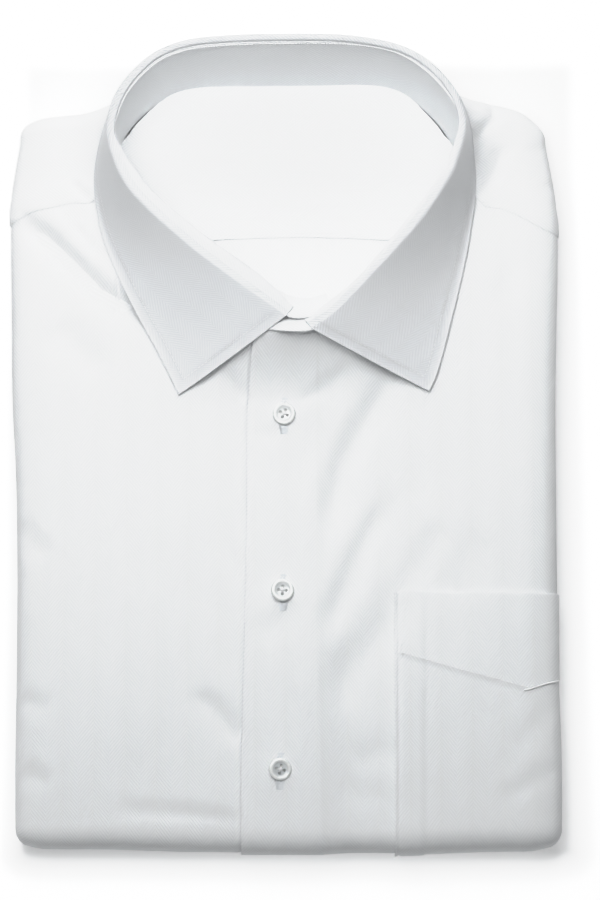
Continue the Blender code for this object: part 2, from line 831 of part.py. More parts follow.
def leaf_line(index, inward):
    """One section of the leaf from its seam on the stand, over the fold and down to its edge."""
    row = collar.at(index)
    normal = outward(index)
    radius = ROLL - inward
    centre = row[0:2] - ROLL * normal
    centre_z = row[2] - ROLL
    line = []
    for angle in ROLL_ANGLES:
        reach = radius * math.cos(angle)
        line.append((centre[0] + normal[0] * reach, centre[1] + normal[1] * reach, centre_z + radius * math.sin(angle)))
    start = np.array((centre[0] + normal[0] * radius, centre[1] + normal[1] * radius, centre_z))
    edge = np.array((row[5], row[6], row[7] - inward * LEAF_EDGE_THIN))
    plan = edge[0:2] - start[0:2]
    width = np.linalg.norm(plan)
    lying = smooth_step((width - HANGING_WIDTH) / (LYING_WIDTH - HANGING_WIDTH))
    edge[0:2] -= plan / width * inward * (1.0 - lying)
    drop = start[2] - edge[2]
    first = start + np.array((*(plan * FALL_FIRST[0]), -drop * FALL_FIRST[1]))
    second_drop = FALL_HANGING + (FALL_LYING - FALL_HANGING) * lying
    second = start + np.array((*(plan * FALL_SECOND), -drop * second_drop))
    for t in FALL_SHARES:
        s = 1.0 - t
        line.append(s ** 3 * start + 3 * s * s * t * first + 3 * s * t * t * second + t ** 3 * edge)
    return line


def make_leaf(cloth):
    """The turned-down part of the collar, with its two points."""
    places = collar_places()
    outer = [leaf_line(index, 0.0) for index in places]
    inner = [leaf_line(index, LEAF_WALL) for index in places]
    wall("collar_leaf", outer, inner, cloth)


def pocket_band_y(x):
    """Lower edge of the pocket's hem band."""
    xs = [row[0] for row in POCKET_BAND]
    ys = [row[1] for row in POCKET_BAND]
    return float(np.interp(x, xs, ys))


POCKET_COLUMNS = 8
POCKET_ROUND_STEPS = 5
POCKET_BAND_ROWS = 3
POCKET_ROWS = 6


def pocket_stations(x):
    """Stations down the pocket and how far each is raised: its hem band, then the plain cloth."""
    fold = pocket_band_y(x) + POCKET_STEP / 2
    plain = fold - POCKET_STEP
    end = hem_line(x)
    stations = []
    for i in range(POCKET_BAND_ROWS + 1):
        stations.append((("top", POCKET_TOP + (fold - POCKET_TOP) * i / POCKET_BAND_ROWS), POCKET_BAND_RAISE))
    for i in range(POCKET_ROWS + 1):
        stations.append((("top", plain + (end - plain) * i / POCKET_ROWS), 0.0))
    for i in range(1, POCKET_ROUND_STEPS + 1):
        stations.append((("hem", math.radians(POCKET_HEM_ANGLE * i / POCKET_ROUND_STEPS)), 0.0))
    return stations


def make_pocket(cloth):
    """The patch pocket: made from the left front's points, moved out."""
    limit = flat_limit(1, POCKET_TOP)
    columns = [("flat", POCKET_LEFT + (limit - POCKET_LEFT) * i / POCKET_COLUMNS) for i in range(POCKET_COLUMNS)]
    columns += [("side", math.radians(POCKET_WRAP * i / POCKET_ROUND_STEPS)) for i in range(POCKET_ROUND_STEPS + 1)]
    outer = []
    inner = []
    for kind, value in columns:
        x = value if kind == "flat" else side_x(1, POCKET_TOP)
        outer_line = []
        inner_line = []
        for station, raised in pocket_stations(x):
            for line, out in ((outer_line, LAP + raised), (inner_line, SEAM)):
                if kind == "flat":
                    line.append(place(x, station, -left_lift(x, station) - out))
                else:
                    line.append(side_point(1, value, 0.0, station, out))
        outer.append(outer_line)
        inner.append(inner_line)
    wall("pocket", outer, inner, cloth)


BUTTON_SIDES = 16
HOLE_SIDES = 5


def make_button(name, matrix, pearl):
    """A turned four-hole button with a raised rim, standing on its origin along local Z."""
    profile = (
        (0.0, 0.0),
        (BUTTON_RADIUS * 0.82, 0.0),
        (BUTTON_RADIUS, BUTTON_HEIGHT * 0.45),
        (BUTTON_RADIUS * 0.96, BUTTON_HEIGHT * 0.85),
        (BUTTON_RADIUS - BUTTON_RIM * 0.8, BUTTON_HEIGHT),
        (BUTTON_RADIUS - BUTTON_RIM * 1.8, BUTTON_HEIGHT - BUTTON_DISH),
        (0.0, BUTTON_HEIGHT - BUTTON_DISH - 0.1),
    )
    mesh = bmesh.new()
    edge = [mesh.verts.new((radius * MM, 0.0, z * MM)) for radius, z in profile]
    edges = [mesh.edges.new(pair) for pair in zip(edge, edge[1:])]
    bmesh.ops.spin(mesh, geom=edge + edges, cent=(0, 0, 0), axis=(0, 0, 1), angle=math.tau,
                   steps=BUTTON_SIDES, use_merge=True)
    bmesh.ops.remove_doubles(mesh, verts=mesh.verts, dist=0.00001)
    button = finish(name, mesh, pearl)
    button.matrix_world = matrix
    cutter = hole_cutter(name + "_holes", matrix)
    cut = button.modifiers.new("holes", "BOOLEAN")
    cut.object = cutter
    cut.operation = "DIFFERENCE"
    cut.solver = "EXACT"


def hole_cutter(name, matrix):
    """Four pins that cut a button's holes."""
    mesh = bmesh.new()
    for i in range(4):
        angle = math.radians(45 + 90 * i)
        spot = Vector((math.cos(angle), math.sin(angle), 0.0)) * BUTTON_HOLE_SPREAD * math.sqrt(2)
        lift = Matrix.Translation(Vector((spot.x, spot.y, BUTTON_HEIGHT / 2)) * MM)
        bmesh.ops.create_cone(mesh, cap_ends=True, segments=HOLE_SIDES, radius1=BUTTON_HOLE * MM,
                              radius2=BUTTON_HOLE * MM, depth=BUTTON_HEIGHT * 3 * MM, matrix=lift)
    data = bpy.data.meshes.new(name)
    mesh.to_mesh(data)
    mesh.free()
    cutter = bpy.data.objects.new(name, data)
    cutter.hide_render = True
    cutter.display_type = "WIRE"
    cutter.matrix_world = matrix
    bpy.context.scene.collection.objects.link(cutter)
    return cutter


def make_buttons(pearl):
    for i, x in enumerate(BUTTON_X):
        y = FIRST_BUTTON_Y - BUTTON_PITCH * i
        z = plain_height(x, y) + LAP + SEAM
        make_button("button_%d" % (i + 1), Matrix.Translation(to_metres((x, y, z))), pearl)
    make_collar_button(pearl)


def make_collar_button(pearl):
    """The button on the outer face of the stand's lapped end."""
    top = np.array(LEFT_END[0][0:3])
    base = np.array((LEFT_END[0][3], LEFT_END[0][4], plain_height(0.0, LEFT_END[0][4]) + LAP + SEAM))
    up = Vector(top - base).normalized()
    front = Vector((*END_FACING, 0.0))
    face = (front - up * front.dot(up)).normalized()
    middle = Vector((top + base) / 2) + front * (STAND_WALL / 2) + face * COLLAR_BUTTON_GAP
    turn = face.to_track_quat("Z", "Y").to_matrix().to_4x4()
    make_button("collar_button", Matrix.Translation(to_metres(middle)) @ turn, pearl)


def main():
    for item in list(bpy.data.objects):
        bpy.data.objects.remove(item, do_unlink=True)
    cloth = make_material("white_cotton", (0.86, 0.87, 0.88), 0.85)
    pearl = make_material("pearl_button", (0.88, 0.88, 0.86), 0.25)
    make_fronts(cloth)
    make_yoke(cloth)
    make_neck_panels(cloth)
    make_folded_layers(cloth)
    make_stand(cloth)
    make_leaf(cloth)
    make_pocket(cloth)
    make_buttons(pearl)


main()
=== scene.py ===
"""A long-sleeved dress shirt, folded for the shelf, dressed over its CAD frame.

The shirt lies face up: X is its width, Y runs from the bottom fold to the collar and Z is up.
Shapes are worked out in millimetres in the frame of the tables and become metres where a mesh is made.
A place on the folded cloth is q across it, p along it (both measured on the cloth) and how far out it lies.
Left and right are the wearer's, as in the CAD: the right front is at -X, the left front and its pocket at +X.
"""
import math

import bmesh
import bpy
import numpy as np
from mathutils import Matrix, Vector


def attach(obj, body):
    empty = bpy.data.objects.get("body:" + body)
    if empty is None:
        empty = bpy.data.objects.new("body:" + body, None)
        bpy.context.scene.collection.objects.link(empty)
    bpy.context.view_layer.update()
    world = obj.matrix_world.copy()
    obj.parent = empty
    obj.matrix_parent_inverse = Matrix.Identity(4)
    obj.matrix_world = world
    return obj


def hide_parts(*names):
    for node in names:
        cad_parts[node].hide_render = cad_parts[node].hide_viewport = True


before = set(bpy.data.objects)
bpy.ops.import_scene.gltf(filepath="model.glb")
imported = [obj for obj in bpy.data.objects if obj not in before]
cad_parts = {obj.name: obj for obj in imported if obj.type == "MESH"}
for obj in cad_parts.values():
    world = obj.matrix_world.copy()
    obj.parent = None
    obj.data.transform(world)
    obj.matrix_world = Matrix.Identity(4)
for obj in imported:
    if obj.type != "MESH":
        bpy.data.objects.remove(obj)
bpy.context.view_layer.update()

MM = 0.001
ORIGIN = np.array((-1.46, 0.21, 0.0))

# Cloth
CLOTH = 0.7
LAP = 0.85
POCKET_OUT = 0.95
BAND_OUT = 0.34

# Folded body, as in the CAD
HEM_EDGE = -184.3
HEM_HALF = 12.0
SHOULDER_HALF = 9.0
TAIL_END = 88.0
CROWN = 1.2
CROWN_WIDTH = 125.0
SIDE_ROUND = 0.2
SIDE_SAG = 1.9
SAG_WIDTH = 13.0
SAG_POWER = 2.2
LIP = 5.0
HEM_FULLER = 1.9
HEM_FULLER_AT = 5.0
HEM_FULLER_HALF = 20.0
HEM_FULLER_FADE = 75.0
FOLD_READ_TO = 120.0
LIFT_FULL_TO = 55.0
LIFT_GONE_AT = 108.0
LIFT_FADE = 25.0
UNDERLAP_EDGE = 12.0
UNDERLAP_STEP = (-26.0, -52.0)

# Neck, as in the CAD
NECK_MIDDLE = 2.0
NECK_DIP = 4.5
NECK_HALF_WIDTH = 80.0
NECK_DIP_FROM = 50.0
NECK_DIP_FULL = 90.0
NECK_DIP_BACK = 136.0
NECK_DIP_END = 172.0
BACK_SEAM = 95.0
LINING_END = 167.4
BACK_PANEL_END = 52.0
UNDER_FRONTS = 1.9
UNDER_FRONTS_TO = 118.0
LEVEL_FROM = 132.0

# Rise of the fronts in the gap between the leaf's points
MOUND_Y = 54.0
MOUND_HEIGHT = 25.5
MOUND_REACH = 36.0
MOUND_WIDER = 3.0
MOUND_STEEPER_BEHIND = 4.0
MOUND_POWER = 1.7
MOUND_TOP = 18.0
MOUND_SLOPE = 0.19
MOUND_HALF = 48.0
MOUND_EDGE = 20.0

# Collar, as in the CAD
ROLL = 2.3
ROLL_INSET = 3.0
LEAF_WALL = 1.2
STAND_WALL = 1.9
LEAF_MARGIN = 4.9

# Buttons and pocket, as in the CAD
BUTTON_X = (-1.5, -2.2, -3.2)
FIRST_BUTTON_Y = 11.8
BUTTON_PITCH = 80.8
POCKET_LEFT = 48.3
POCKET_TOP = -69.5
POCKET_WRAP = 125.0
POCKET_HEM_ANGLE = 115.0

# Outline from above: y, x of the left edge, x of the right edge
SIDES = (
    (-186.0, -122.0, 122.4),
    (-148.0, -122.6, 122.8),
    (-105.0, -122.4, 121.8),
    (-55.0, -122.6, 122.0),
    (-15.0, -123.6, 122.0),
    (20.0, -125.6, 122.3),
    (54.0, -126.2, 123.1),
    (100.0, -127.1, 124.0),
    (115.0, -127.1, 123.3),
    (130.0, -125.2, 121.0),
    (142.0, -123.4, 118.9),
    (152.0, -122.6, 117.8),
    (170.0, -122.6, 117.8),
)

# Shoulder fold from above: x, y of the fold
SHOULDERS = (
    (-128.0, 150.5),
    (-118.0, 153.2),
    (-103.5, 154.9),
    (-92.5, 156.4),
    (-82.0, 160.4),
    (-72.0, 165.8),
    (-58.0, 172.3),
    (-42.0, 177.3),
    (-22.0, 180.0),
    (0.0, 180.6),
    (24.0, 180.4),
    (44.0, 178.0),
    (60.0, 173.0),
    (72.0, 168.4),
    (82.0, 163.8),
    (100.0, 159.1),
    (109.0, 156.2),
    (118.0, 151.0),
    (126.0, 149.0),
)

# Height of the folded body: y, height
HEIGHTS = (
    (-200.0, 23.6),
    (-172.0, 23.6),
    (-100.0, 24.6),
    (0.0, 25.6),
    (40.0, 26.0),
    (65.0, 25.6),
    (100.0, 22.6),
    (130.0, 19.4),
    (150.0, 18.0),
    (172.0, 17.4),
    (190.0, 17.4),
)

# Yoke seam on the fronts: distance from the middle, y on the right front, y on the left front
YOKE_SEAM = (
    (77.5, 137.5, 136.0),
    (82.0, 123.0, 122.5),
    (88.0, 113.8, 112.6),
    (99.0, 111.8, 108.8),
    (110.0, 109.3, 103.6),
    (118.0, 107.2, 99.4),
    (127.0, 102.6, 96.5),
)

# Edge of the left front on top of the right front: y, x
PLACKET = (
    (-190.0, -20.6),
    (-155.0, -20.6),
    (-103.0, -19.6),
    (-33.0, -18.3),
    (18.0, -17.7),
    (43.0, -15.8),
    (75.0, -14.0),
)

# Collar sections from the right front end round the back to the left front end:
# fold x, y and z, neckline x and y, leaf edge x, y and z
COLLAR = (
    (1.2, 54.8, 51.0, 2.6, 63.6, -49.3, 20.7, 28.1),
    (-8.5, 62.8, 51.2, -6.8, 68.2, -53.2, 29.0, 28.3),
    (-18.6, 70.7, 51.6, -17.0, 74.9, -59.0, 40.4, 28.5),
    (-41.2, 87.0, 52.4, -40.0, 90.4, -72.7, 66.2, 28.6),
    (-62.1, 104.8, 53.4, -60.6, 107.2, -83.4, 90.9, 26.6),
    (-71.2, 115.5, 53.8, -69.6, 117.6, -87.2, 106.8, 25.0),
    (-78.2, 126.2, 54.0, -75.6, 128.4, -89.0, 119.8, 23.6),
    (-82.5, 137.4, 54.2, -77.5, 137.5, -89.2, 132.2, 22.6),
    (-80.2, 149.0, 54.4, -74.4, 146.0, -87.2, 148.2, 22.2),
    (-75.9, 158.3, 54.6, -67.9, 153.8, -82.6, 161.8, 21.0),
    (-68.6, 167.2, 54.8, -59.8, 160.6, -74.0, 172.6, 14.0),
    (-58.4, 175.2, 55.0, -51.0, 165.6, -61.4, 180.4, 9.6),
    (-44.0, 180.2, 55.0, -39.0, 167.9, -45.6, 184.6, 8.4),
    (-22.0, 182.2, 55.0, -20.0, 168.3, -22.6, 186.4, 8.0),
    (0.0, 182.7, 55.0, 0.0, 168.4, 0.0, 186.8, 8.0),
    (24.0, 182.6, 55.0, 21.0, 168.9, 24.6, 186.8, 8.0),
    (44.0, 180.2, 55.0, 40.5, 168.7, 45.8, 184.6, 8.4),
    (57.6, 174.9, 55.0, 52.4, 165.6, 60.6, 180.2, 9.6),
    (68.2, 166.7, 54.8, 60.8, 159.6, 73.2, 172.2, 14.0),
    (76.5, 157.4, 54.6, 68.4, 152.2, 82.4, 162.0, 21.0),
    (81.2, 148.4, 54.4, 74.2, 144.4, 86.8, 148.6, 22.2),
    (82.4, 138.2, 54.2, 77.5, 136.0, 87.2, 133.8, 22.6),
    (79.2, 124.4, 54.0, 76.2, 125.0, 86.6, 121.2, 23.6),
    (73.1, 114.6, 53.8, 70.8, 115.6, 85.6, 109.6, 25.2),
    (58.1, 94.7, 53.2, 57.0, 96.6, 81.8, 86.0, 27.4),
    (36.6, 68.7, 51.8, 36.4, 72.2, 75.6, 59.0, 29.2),
    (20.6, 55.2, 50.8, 22.0, 62.0, 68.6, 32.4, 29.4),
    (10.2, 47.7, 50.4, 11.4, 57.6, 64.4, 22.2, 29.2),
)
WIDEST_RIGHT = 7
WIDEST_LEFT = 21
BACK_MIDDLE = 14
LAST_SECTION = len(COLLAR) - 1

# How the cloth's leaf differs from its solid, section by section:
# radius of its roll, how far the flat top of the fold carries it out, how far its edge is drawn in and sunk
LEAF_FALL = (
    (1.4, 4.2, 0.0, 0.5),
    (2.0, 5.3, 0.0, 0.8),
    (2.3, 6.0, 0.0, 1.2),
    (2.3, 5.0, 0.0, 1.4),
    (2.3, 4.1, 0.0, 1.4),
    (2.3, 3.7, 0.0, 1.5),
    (2.3, 1.6, 0.2, 1.6),
    (2.1, -0.2, 1.2, 1.8),
    (2.0, 0.3, 2.7, 2.2),
    (1.9, 0.2, 3.2, 1.4),
    (1.8, 0.1, 2.2, 0.4),
    (1.7, 0.0, 0.8, 0.0),
    (1.7, 0.0, 0.2, 0.0),
    (1.7, 0.0, 0.0, 0.0),
    (1.7, 0.0, 0.0, 0.0),
    (1.7, -0.3, 0.0, 0.0),
    (1.7, -0.7, 0.2, 0.0),
    (1.7, -0.3, 0.8, 0.0),
    (1.7, 0.0, 2.2, 0.4),
    (1.8, -0.4, 3.0, 1.4),
    (2.0, -0.7, 2.6, 2.2),
    (2.1, -0.9, 1.4, 1.8),
    (2.3, -1.4, 0.2, 1.6),
    (2.3, 0.4, 0.0, 1.5),
    (2.3, 1.8, 0.0, 1.4),
    (2.3, 0.7, 0.0, 1.2),
    (2.3, 3.0, 0.0, 0.8),
    (2.3, 2.5, 0.0, 0.5),
)

# Ends of the stand past the leaf, at the front: top x, y and z, neckline x and y
RIGHT_END = (
    (19.0, 54.6, 47.8, 17.6, 65.4),
    (9.6, 52.6, 48.2, 9.8, 63.2),
)
LEFT_END = (
    (-2.4, 46.9, 46.4, -2.0, 57.2),
    (-13.0, 49.8, 39.5, -10.6, 58.8),
)
END_FACING = np.array((0.148, -0.989))

# Creases on the fronts and the yoke: half width, depth and the line along which the cloth starts to fall.
# The trough lies on the left of the line as it is followed, with a low ridge on its right.
CREASES = (
    (5.0, 5.2, ((-62.0, 60.5), (-72.7, 65.4), (-83.6, 71.0), (-90.1, 78.0), (-98.4, 86.4),
                (-107.6, 95.7), (-117.7, 105.1))),
    (2.2, 1.1, ((-86.0, 110.0), (-89.0, 113.1), (-97.8, 122.4))),
    (2.6, 1.1, ((-82.8, 85.4), (-90.2, 93.9), (-97.1, 101.3))),
    (8.0, 1.5, ((-82.0, 36.0), (-88.9, 42.6), (-99.9, 56.6))),
    (3.0, 0.8, ((-18.3, 19.0), (-24.7, 31.5))),
    (2.5, 0.6, ((-18.6, -65.0), (-21.8, -55.8), (-25.0, -48.1))),
    (5.0, 1.1, ((-20.3, -135.2), (-29.3, -121.2), (-37.9, -113.1))),
    (4.5, 0.7, ((-21.1, -170.3), (-39.0, -167.6), (-56.9, -166.2), (-75.0, -165.0))),
    (5.0, 0.8, ((-107.2, -51.3), (-119.1, -35.7))),
    (5.0, 0.7, ((-107.4, -119.9), (-118.3, -114.0))),
    (5.0, 0.7, ((-106.2, -153.7), (-117.1, -147.4))),
    (6.0, 2.5, ((46.6, 31.5), (36.6, 17.6), (28.4, 3.8), (21.6, -10.0), (18.4, -23.8), (16.6, -40.3))),
    (5.5, 1.5, ((41.9, -27.5), (33.8, -41.2), (27.4, -55.8), (21.1, -70.4), (15.6, -84.1))),
    (8.0, 1.1, ((49.0, -64.0), (41.8, -80.4), (31.8, -92.3), (22.8, -102.2), (17.0, -119.4))),
    (6.0, 0.8, ((65.4, -38.5), (52.7, -61.3))),
    (9.0, 0.6, ((84.4, -40.3), (76.2, -54.9), (68.9, -69.5))),
    (8.0, 0.4, ((55.6, -4.5), (51.9, -27.5))),
    (6.0, 0.5, ((47.0, -135.7), (29.0, -142.0))),
    (5.0, 0.4, ((43.8, -159.1), (25.9, -153.7))),
    (5.5, 0.5, ((3.9, -72.3), (-6.9, -80.4), (-16.8, -87.7))),
    (4.0, 0.7, ((27.6, 34.3), (15.7, 26.0), (3.9, 19.5))),
    (4.0, 0.5, ((-3.3, 6.6), (-16.9, 4.7))),
    (5.0, 0.45, ((119.0, -115.8), (110.8, -125.7), (100.8, -138.4))),
    (4.5, 0.5, ((120.5, -145.6), (108.8, -152.8), (96.2, -160.0))),
    (3.0, 1.6, ((95.7, 154.9), (90.2, 149.3), (85.1, 141.7))),
    (4.0, 1.3, ((97.4, 139.8), (92.8, 128.5), (88.1, 116.3))),
    (6.0, 0.5, ((98.9, 82.6), (93.3, 64.9))),
    (8.0, 0.9, ((111.2, 139.8), (117.9, 115.4))),
)

# Cross section of a crease in half widths, and how it runs out: share of its length, depth at its very end
TROUGH_AT = 0.7
RIDGE_AT = 1.0
RIDGE_SHARE = 0.22
CREASE_ENDS = 0.3
END_DEPTH = 0.4

# Creases on the underside, pressed flatter: half width, depth and their line
UNDER_CREASES = (
    (6.0, 0.5, ((-96.0, 60.0), (-60.0, 20.0), (-52.0, -30.0))),
    (5.0, 0.4, ((70.0, 40.0), (40.0, -10.0), (36.0, -60.0))),
    (7.0, 0.5, ((104.0, -80.0), (70.0, -120.0), (30.0, -136.0))),
    (5.0, 0.4, ((-20.0, -70.0), (-64.0, -110.0), (-84.0, -150.0))),
)

# Lower edge of the pocket's hem band: x, y
POCKET_BAND = (
    (46.0, -97.0),
    (80.0, -106.4),
    (108.3, -114.0),
    (122.2, -109.3),
    (160.0, -98.0),
)


def smooth_step(value):
    """From 0 to 1, level at both ends."""
    held = np.clip(value, 0.0, 1.0)
    return held * held * (3.0 - 2.0 * held)


def fade_out(value):
    """From 1 to 0, level at both ends."""
    return 1.0 - smooth_step(value)


def hump(away, width):
    """A soft hump that is 1 high at 0."""
    return np.exp(-(away / width) ** 2)


def stretch(share, start, length):
    """How much of one stretch of a piece's rows is passed, from 0 to 1."""
    return np.clip((share - start) / length, 0.0, 1.0)


def run_along(points):
    """Length along a line of points, from its start."""
    return np.concatenate([[0.0], np.cumsum(np.linalg.norm(np.diff(points, axis=0), axis=1))])


class Track:
    """A smooth curve through the rows of a table, read at values of the table's first column."""

    def __init__(self, rows):
        data = np.array(rows, dtype=float)
        self.keys = data[:, 0]
        self.values = data[:, 1:]
        self.slopes = np.gradient(self.values, self.keys, axis=0)

    def at(self, key, column=0):
        key = np.clip(key, self.keys[0], self.keys[-1])
        i = np.clip(np.searchsorted(self.keys, key) - 1, 0, len(self.keys) - 2)
        span = self.keys[i + 1] - self.keys[i]
        t = (key - self.keys[i]) / span
        value, slope = self.values[:, column], self.slopes[:, column]
        first = (1 + 2 * t) * (1 - t) ** 2 * value[i] + t * (1 - t) ** 2 * span * slope[i]
        second = t * t * (3 - 2 * t) * value[i + 1] - t * t * (1 - t) * span * slope[i + 1]
        return first + second

    def point(self, key, first, last):
        return np.stack([self.at(key, column) for column in range(first, last)], axis=-1)


sides = Track(SIDES)
shoulders = Track(SHOULDERS)
heights = Track(HEIGHTS)
yoke_seam = Track(YOKE_SEAM)
placket = Track(PLACKET)
collar = Track([(i, *row) for i, row in enumerate(COLLAR)])
leaf_fall = Track([(i, *row) for i, row in enumerate(LEAF_FALL)])


# The folded body

def side_of(x):
    return np.where(np.asarray(x) < 0, -1.0, 1.0)


def side_x(side, y):
    """Distance of the body's edge from the middle, on the side of a sign."""
    return np.where(side < 0, -sides.at(y, 0), sides.at(y, 1))


def crease_depth(x, y, creases=CREASES):
    """How far the creases push the cloth in."""
    total = 0.0
    for half_width, depth, line in creases:
        nearest = np.full(np.shape(x), 1e9)
        aside = np.zeros(np.shape(x))
        share = np.zeros(np.shape(x))
        spots = np.array(line)
        run = run_along(spots)
        for (x0, y0), (x1, y1), start, end in zip(spots, spots[1:], run, run[1:]):
            length = end - start
            along = ((x - x0) * (x1 - x0) + (y - y0) * (y1 - y0)) / length
            held = np.clip(along, 0.0, length)
            off_x = x - x0 - (x1 - x0) * held / length
            off_y = y - y0 - (y1 - y0) * held / length
            away = np.hypot(off_x, off_y)
            turn = np.where((x1 - x0) * off_y - (y1 - y0) * off_x > 0, away, -away)
            closer = away < nearest
            nearest = np.where(closer, away, nearest)
            aside = np.where(closer, turn, aside)
            share = np.where(closer, (start + along) / run[-1], share)
        starting = smooth_step(share / CREASE_ENDS + END_DEPTH)
        ending = smooth_step((1.0 - share) / CREASE_ENDS + END_DEPTH)
        fade = starting * ending
        across = aside / half_width
        trough = hump(across - TROUGH_AT, 1.0) - RIDGE_SHARE * hump(across + RIDGE_AT, 1.0)
        total = total + depth * fade * trough
    return total


def ripple(x, y, phase=0.0):
    """The slight unevenness of pressed cloth, in millimetres."""
    first = np.sin(x / 17.0 + 1.3 * np.sin(y / 41.0 + phase)) * np.sin(y / 29.0 + 0.8 * np.sin(x / 37.0))
    second = np.sin(x / 7.5 + y / 31.0 + phase) * np.sin(y / 13.0 - x / 47.0)
    third = np.sin(x / 3.1 + 2.0 * np.sin(y / 23.0)) * np.sin(y / 9.0 + 1.5 * np.sin(x / 11.0 + phase))
    return 0.16 * first + 0.06 * second + 0.018 * third


def plain_height(x, y):
    """Top of the folded body without its creases."""
    return heights.at(y) - CROWN * (np.abs(x) / CROWN_WIDTH) ** 4


def neck_mound(x, y):
    """The fronts rise to the stand in the gap between the leaf's points."""
    aside = np.abs(x - NECK_MIDDLE)
    ahead = np.where(y < MOUND_Y, MOUND_Y - y, (y - MOUND_Y) * MOUND_STEEPER_BEHIND)
    away = np.hypot((x - NECK_MIDDLE) / MOUND_WIDER, ahead)
    under_leaf = smooth_step((MOUND_HALF - aside) / MOUND_EDGE)
    rise = MOUND_HEIGHT * (1.0 - np.minimum(away / MOUND_REACH, 1.0)) ** MOUND_POWER
    return under_leaf * np.minimum(rise, MOUND_TOP - MOUND_SLOPE * aside)


def height(x, y):
    """Top of the folded body."""
    return plain_height(x, y) - crease_depth(x, y) + ripple(x, y) + neck_mound(x, y)


def hem_radius(x):
    return plain_height(x, HEM_EDGE + HEM_HALF) / 2


def hem_line(x):
    """Where the top starts to turn round the bottom fold, which is a little fuller in its middle."""
    fuller = HEM_FULLER * fade_out((np.abs(x - HEM_FULLER_AT) - HEM_FULLER_HALF) / HEM_FULLER_FADE)
    return HEM_EDGE - fuller + hem_radius(x)


def fold_table(power):
    """A quarter of a pressed fold, squarer than a circle: arc in radians, sine and cosine."""
    turn = np.linspace(0.0, math.pi / 2, 181)
    sine, cosine = np.sin(turn) ** (2 / power), np.cos(turn) ** (2 / power)
    arc = np.concatenate([[0.0], np.cumsum(np.hypot(np.diff(sine), np.diff(cosine)))])
    return arc * math.pi / 2 / arc[-1], sine, cosine


PRESSED = fold_table(2.9)


def fold_sine(turn):
    return np.interp(np.minimum(turn, math.pi - turn), PRESSED[0], PRESSED[1])


def fold_cosine(turn):
    return np.interp(np.minimum(turn, math.pi - turn), PRESSED[0], PRESSED[2]) * np.sign(math.pi / 2 - turn)


def shoulder_radius(x):
    return plain_height(x, shoulders.at(x) - SHOULDER_HALF) / 2


def shoulder_line(x):
    """Where the top starts to turn round the shoulder fold."""
    return shoulders.at(x) - shoulder_radius(x)


def outline_y(side, p):
    """The y at which a place reads the outline of the sides."""
    edge = side * side_x(side, 0.0)
    return np.clip(p, hem_line(edge), shoulder_line(edge))


def edge_round(side, y):
    """Radius of the rounded side."""
    return SIDE_ROUND * plain_height(side_x(side, y), y)


def flat_limit(side, y):
    """Half width of the flat top."""
    return side_x(side, y) - edge_round(side, y)


def skin(q, p, out):
    """Points of the folded body's surface, moved out."""
    side = side_of(q)
    y_out = outline_y(side, p)
    radius = edge_round(side, y_out)
    limit = side_x(side, y_out) - radius
    over = np.maximum(np.abs(q) - limit, 0.0)
    angle = np.minimum(over / radius, math.pi)
    lip = np.maximum(over - math.pi * radius, 0.0)
    reach = radius + out
    x = side * (np.minimum(np.abs(q), limit) + reach * np.sin(angle) - lip)
    sagging = np.minimum(np.abs(q) - limit, 0.0) + radius * np.sin(np.minimum(angle, math.pi / 2))
    held_in = np.cos(np.maximum(angle - math.pi / 2, 0.0)) ** 2
    droop = SIDE_SAG * np.maximum(1.0 + sagging / SAG_WIDTH, 0.0) ** SAG_POWER * held_in
    depth = radius - reach * np.cos(angle) + droop
    start_hem, hem = hem_line(x), hem_radius(x)
    start_shoulder, shoulder = shoulder_line(x), shoulder_radius(x)
    bend = np.clip((start_hem - p) / hem, 0.0, math.pi)
    turn = np.clip((p - start_shoulder) / shoulder, 0.0, math.pi)
    y_top = np.clip(p, start_hem, start_shoulder)
    past_hem = np.maximum(start_hem - p - math.pi * hem, 0.0)
    past_shoulder = np.maximum(p - start_shoulder - math.pi * shoulder, 0.0)
    y = y_top - (hem - depth) * fold_sine(bend) + (shoulder - depth) * np.sin(turn)
    y = y + past_hem - past_shoulder
    lying = height(x, y_top) - depth
    folded = hem + (hem - depth) * fold_cosine(bend)
    rolled = shoulder + (shoulder - depth) * np.cos(turn)
    above_hem = height(x, start_hem) - 2 * hem
    above_shoulder = height(x, start_shoulder) - 2 * shoulder
    z = np.where(bend > 0, folded + above_hem * np.cos(bend / 2) ** 2, lying)
    z = np.where(turn > 0, rolled + above_shoulder * np.cos(turn / 2) ** 2, z)
    under = crease_depth(x, y, UNDER_CREASES) * smooth_step((bend - 3.0) * 7.0)
    return np.stack([x, y, z + np.maximum(under, 0.0)], axis=-1)


def outward(index):
    """Unit vectors in plan, square to the collar's fold and away from the neck."""
    ahead = collar.point(np.minimum(index + 0.2, LAST_SECTION), 0, 2)
    behind = collar.point(np.maximum(index - 0.2, 0), 0, 2)
    step = ahead - behind
    normal = np.stack([-step[..., 1], step[..., 0]], axis=-1)
    return normal / np.linalg.norm(normal, axis=-1, keepdims=True)


def ring_points(first, last, gap):
    """Points of the neckline between two collar sections, moved out by a gap."""
    index = np.linspace(first, last, 240)
    return collar.point(index, 3, 5) + gap * outward(index)


def ring_table(points, column=0):
    """Neckline points as two lists for interpolation, rising along x, or along y for column 1."""
    order = np.argsort(points[:, column])
    return points[order, column], points[order, 1 - column]


def front_ring(first, last, end):
    """The neckline that one front follows: some collar sections and an end of the stand."""
    past = [(row[3], row[4] - RING_GAP) for row in end]
    return ring_table(np.vstack([ring_points(first, last, RING_GAP), past]))


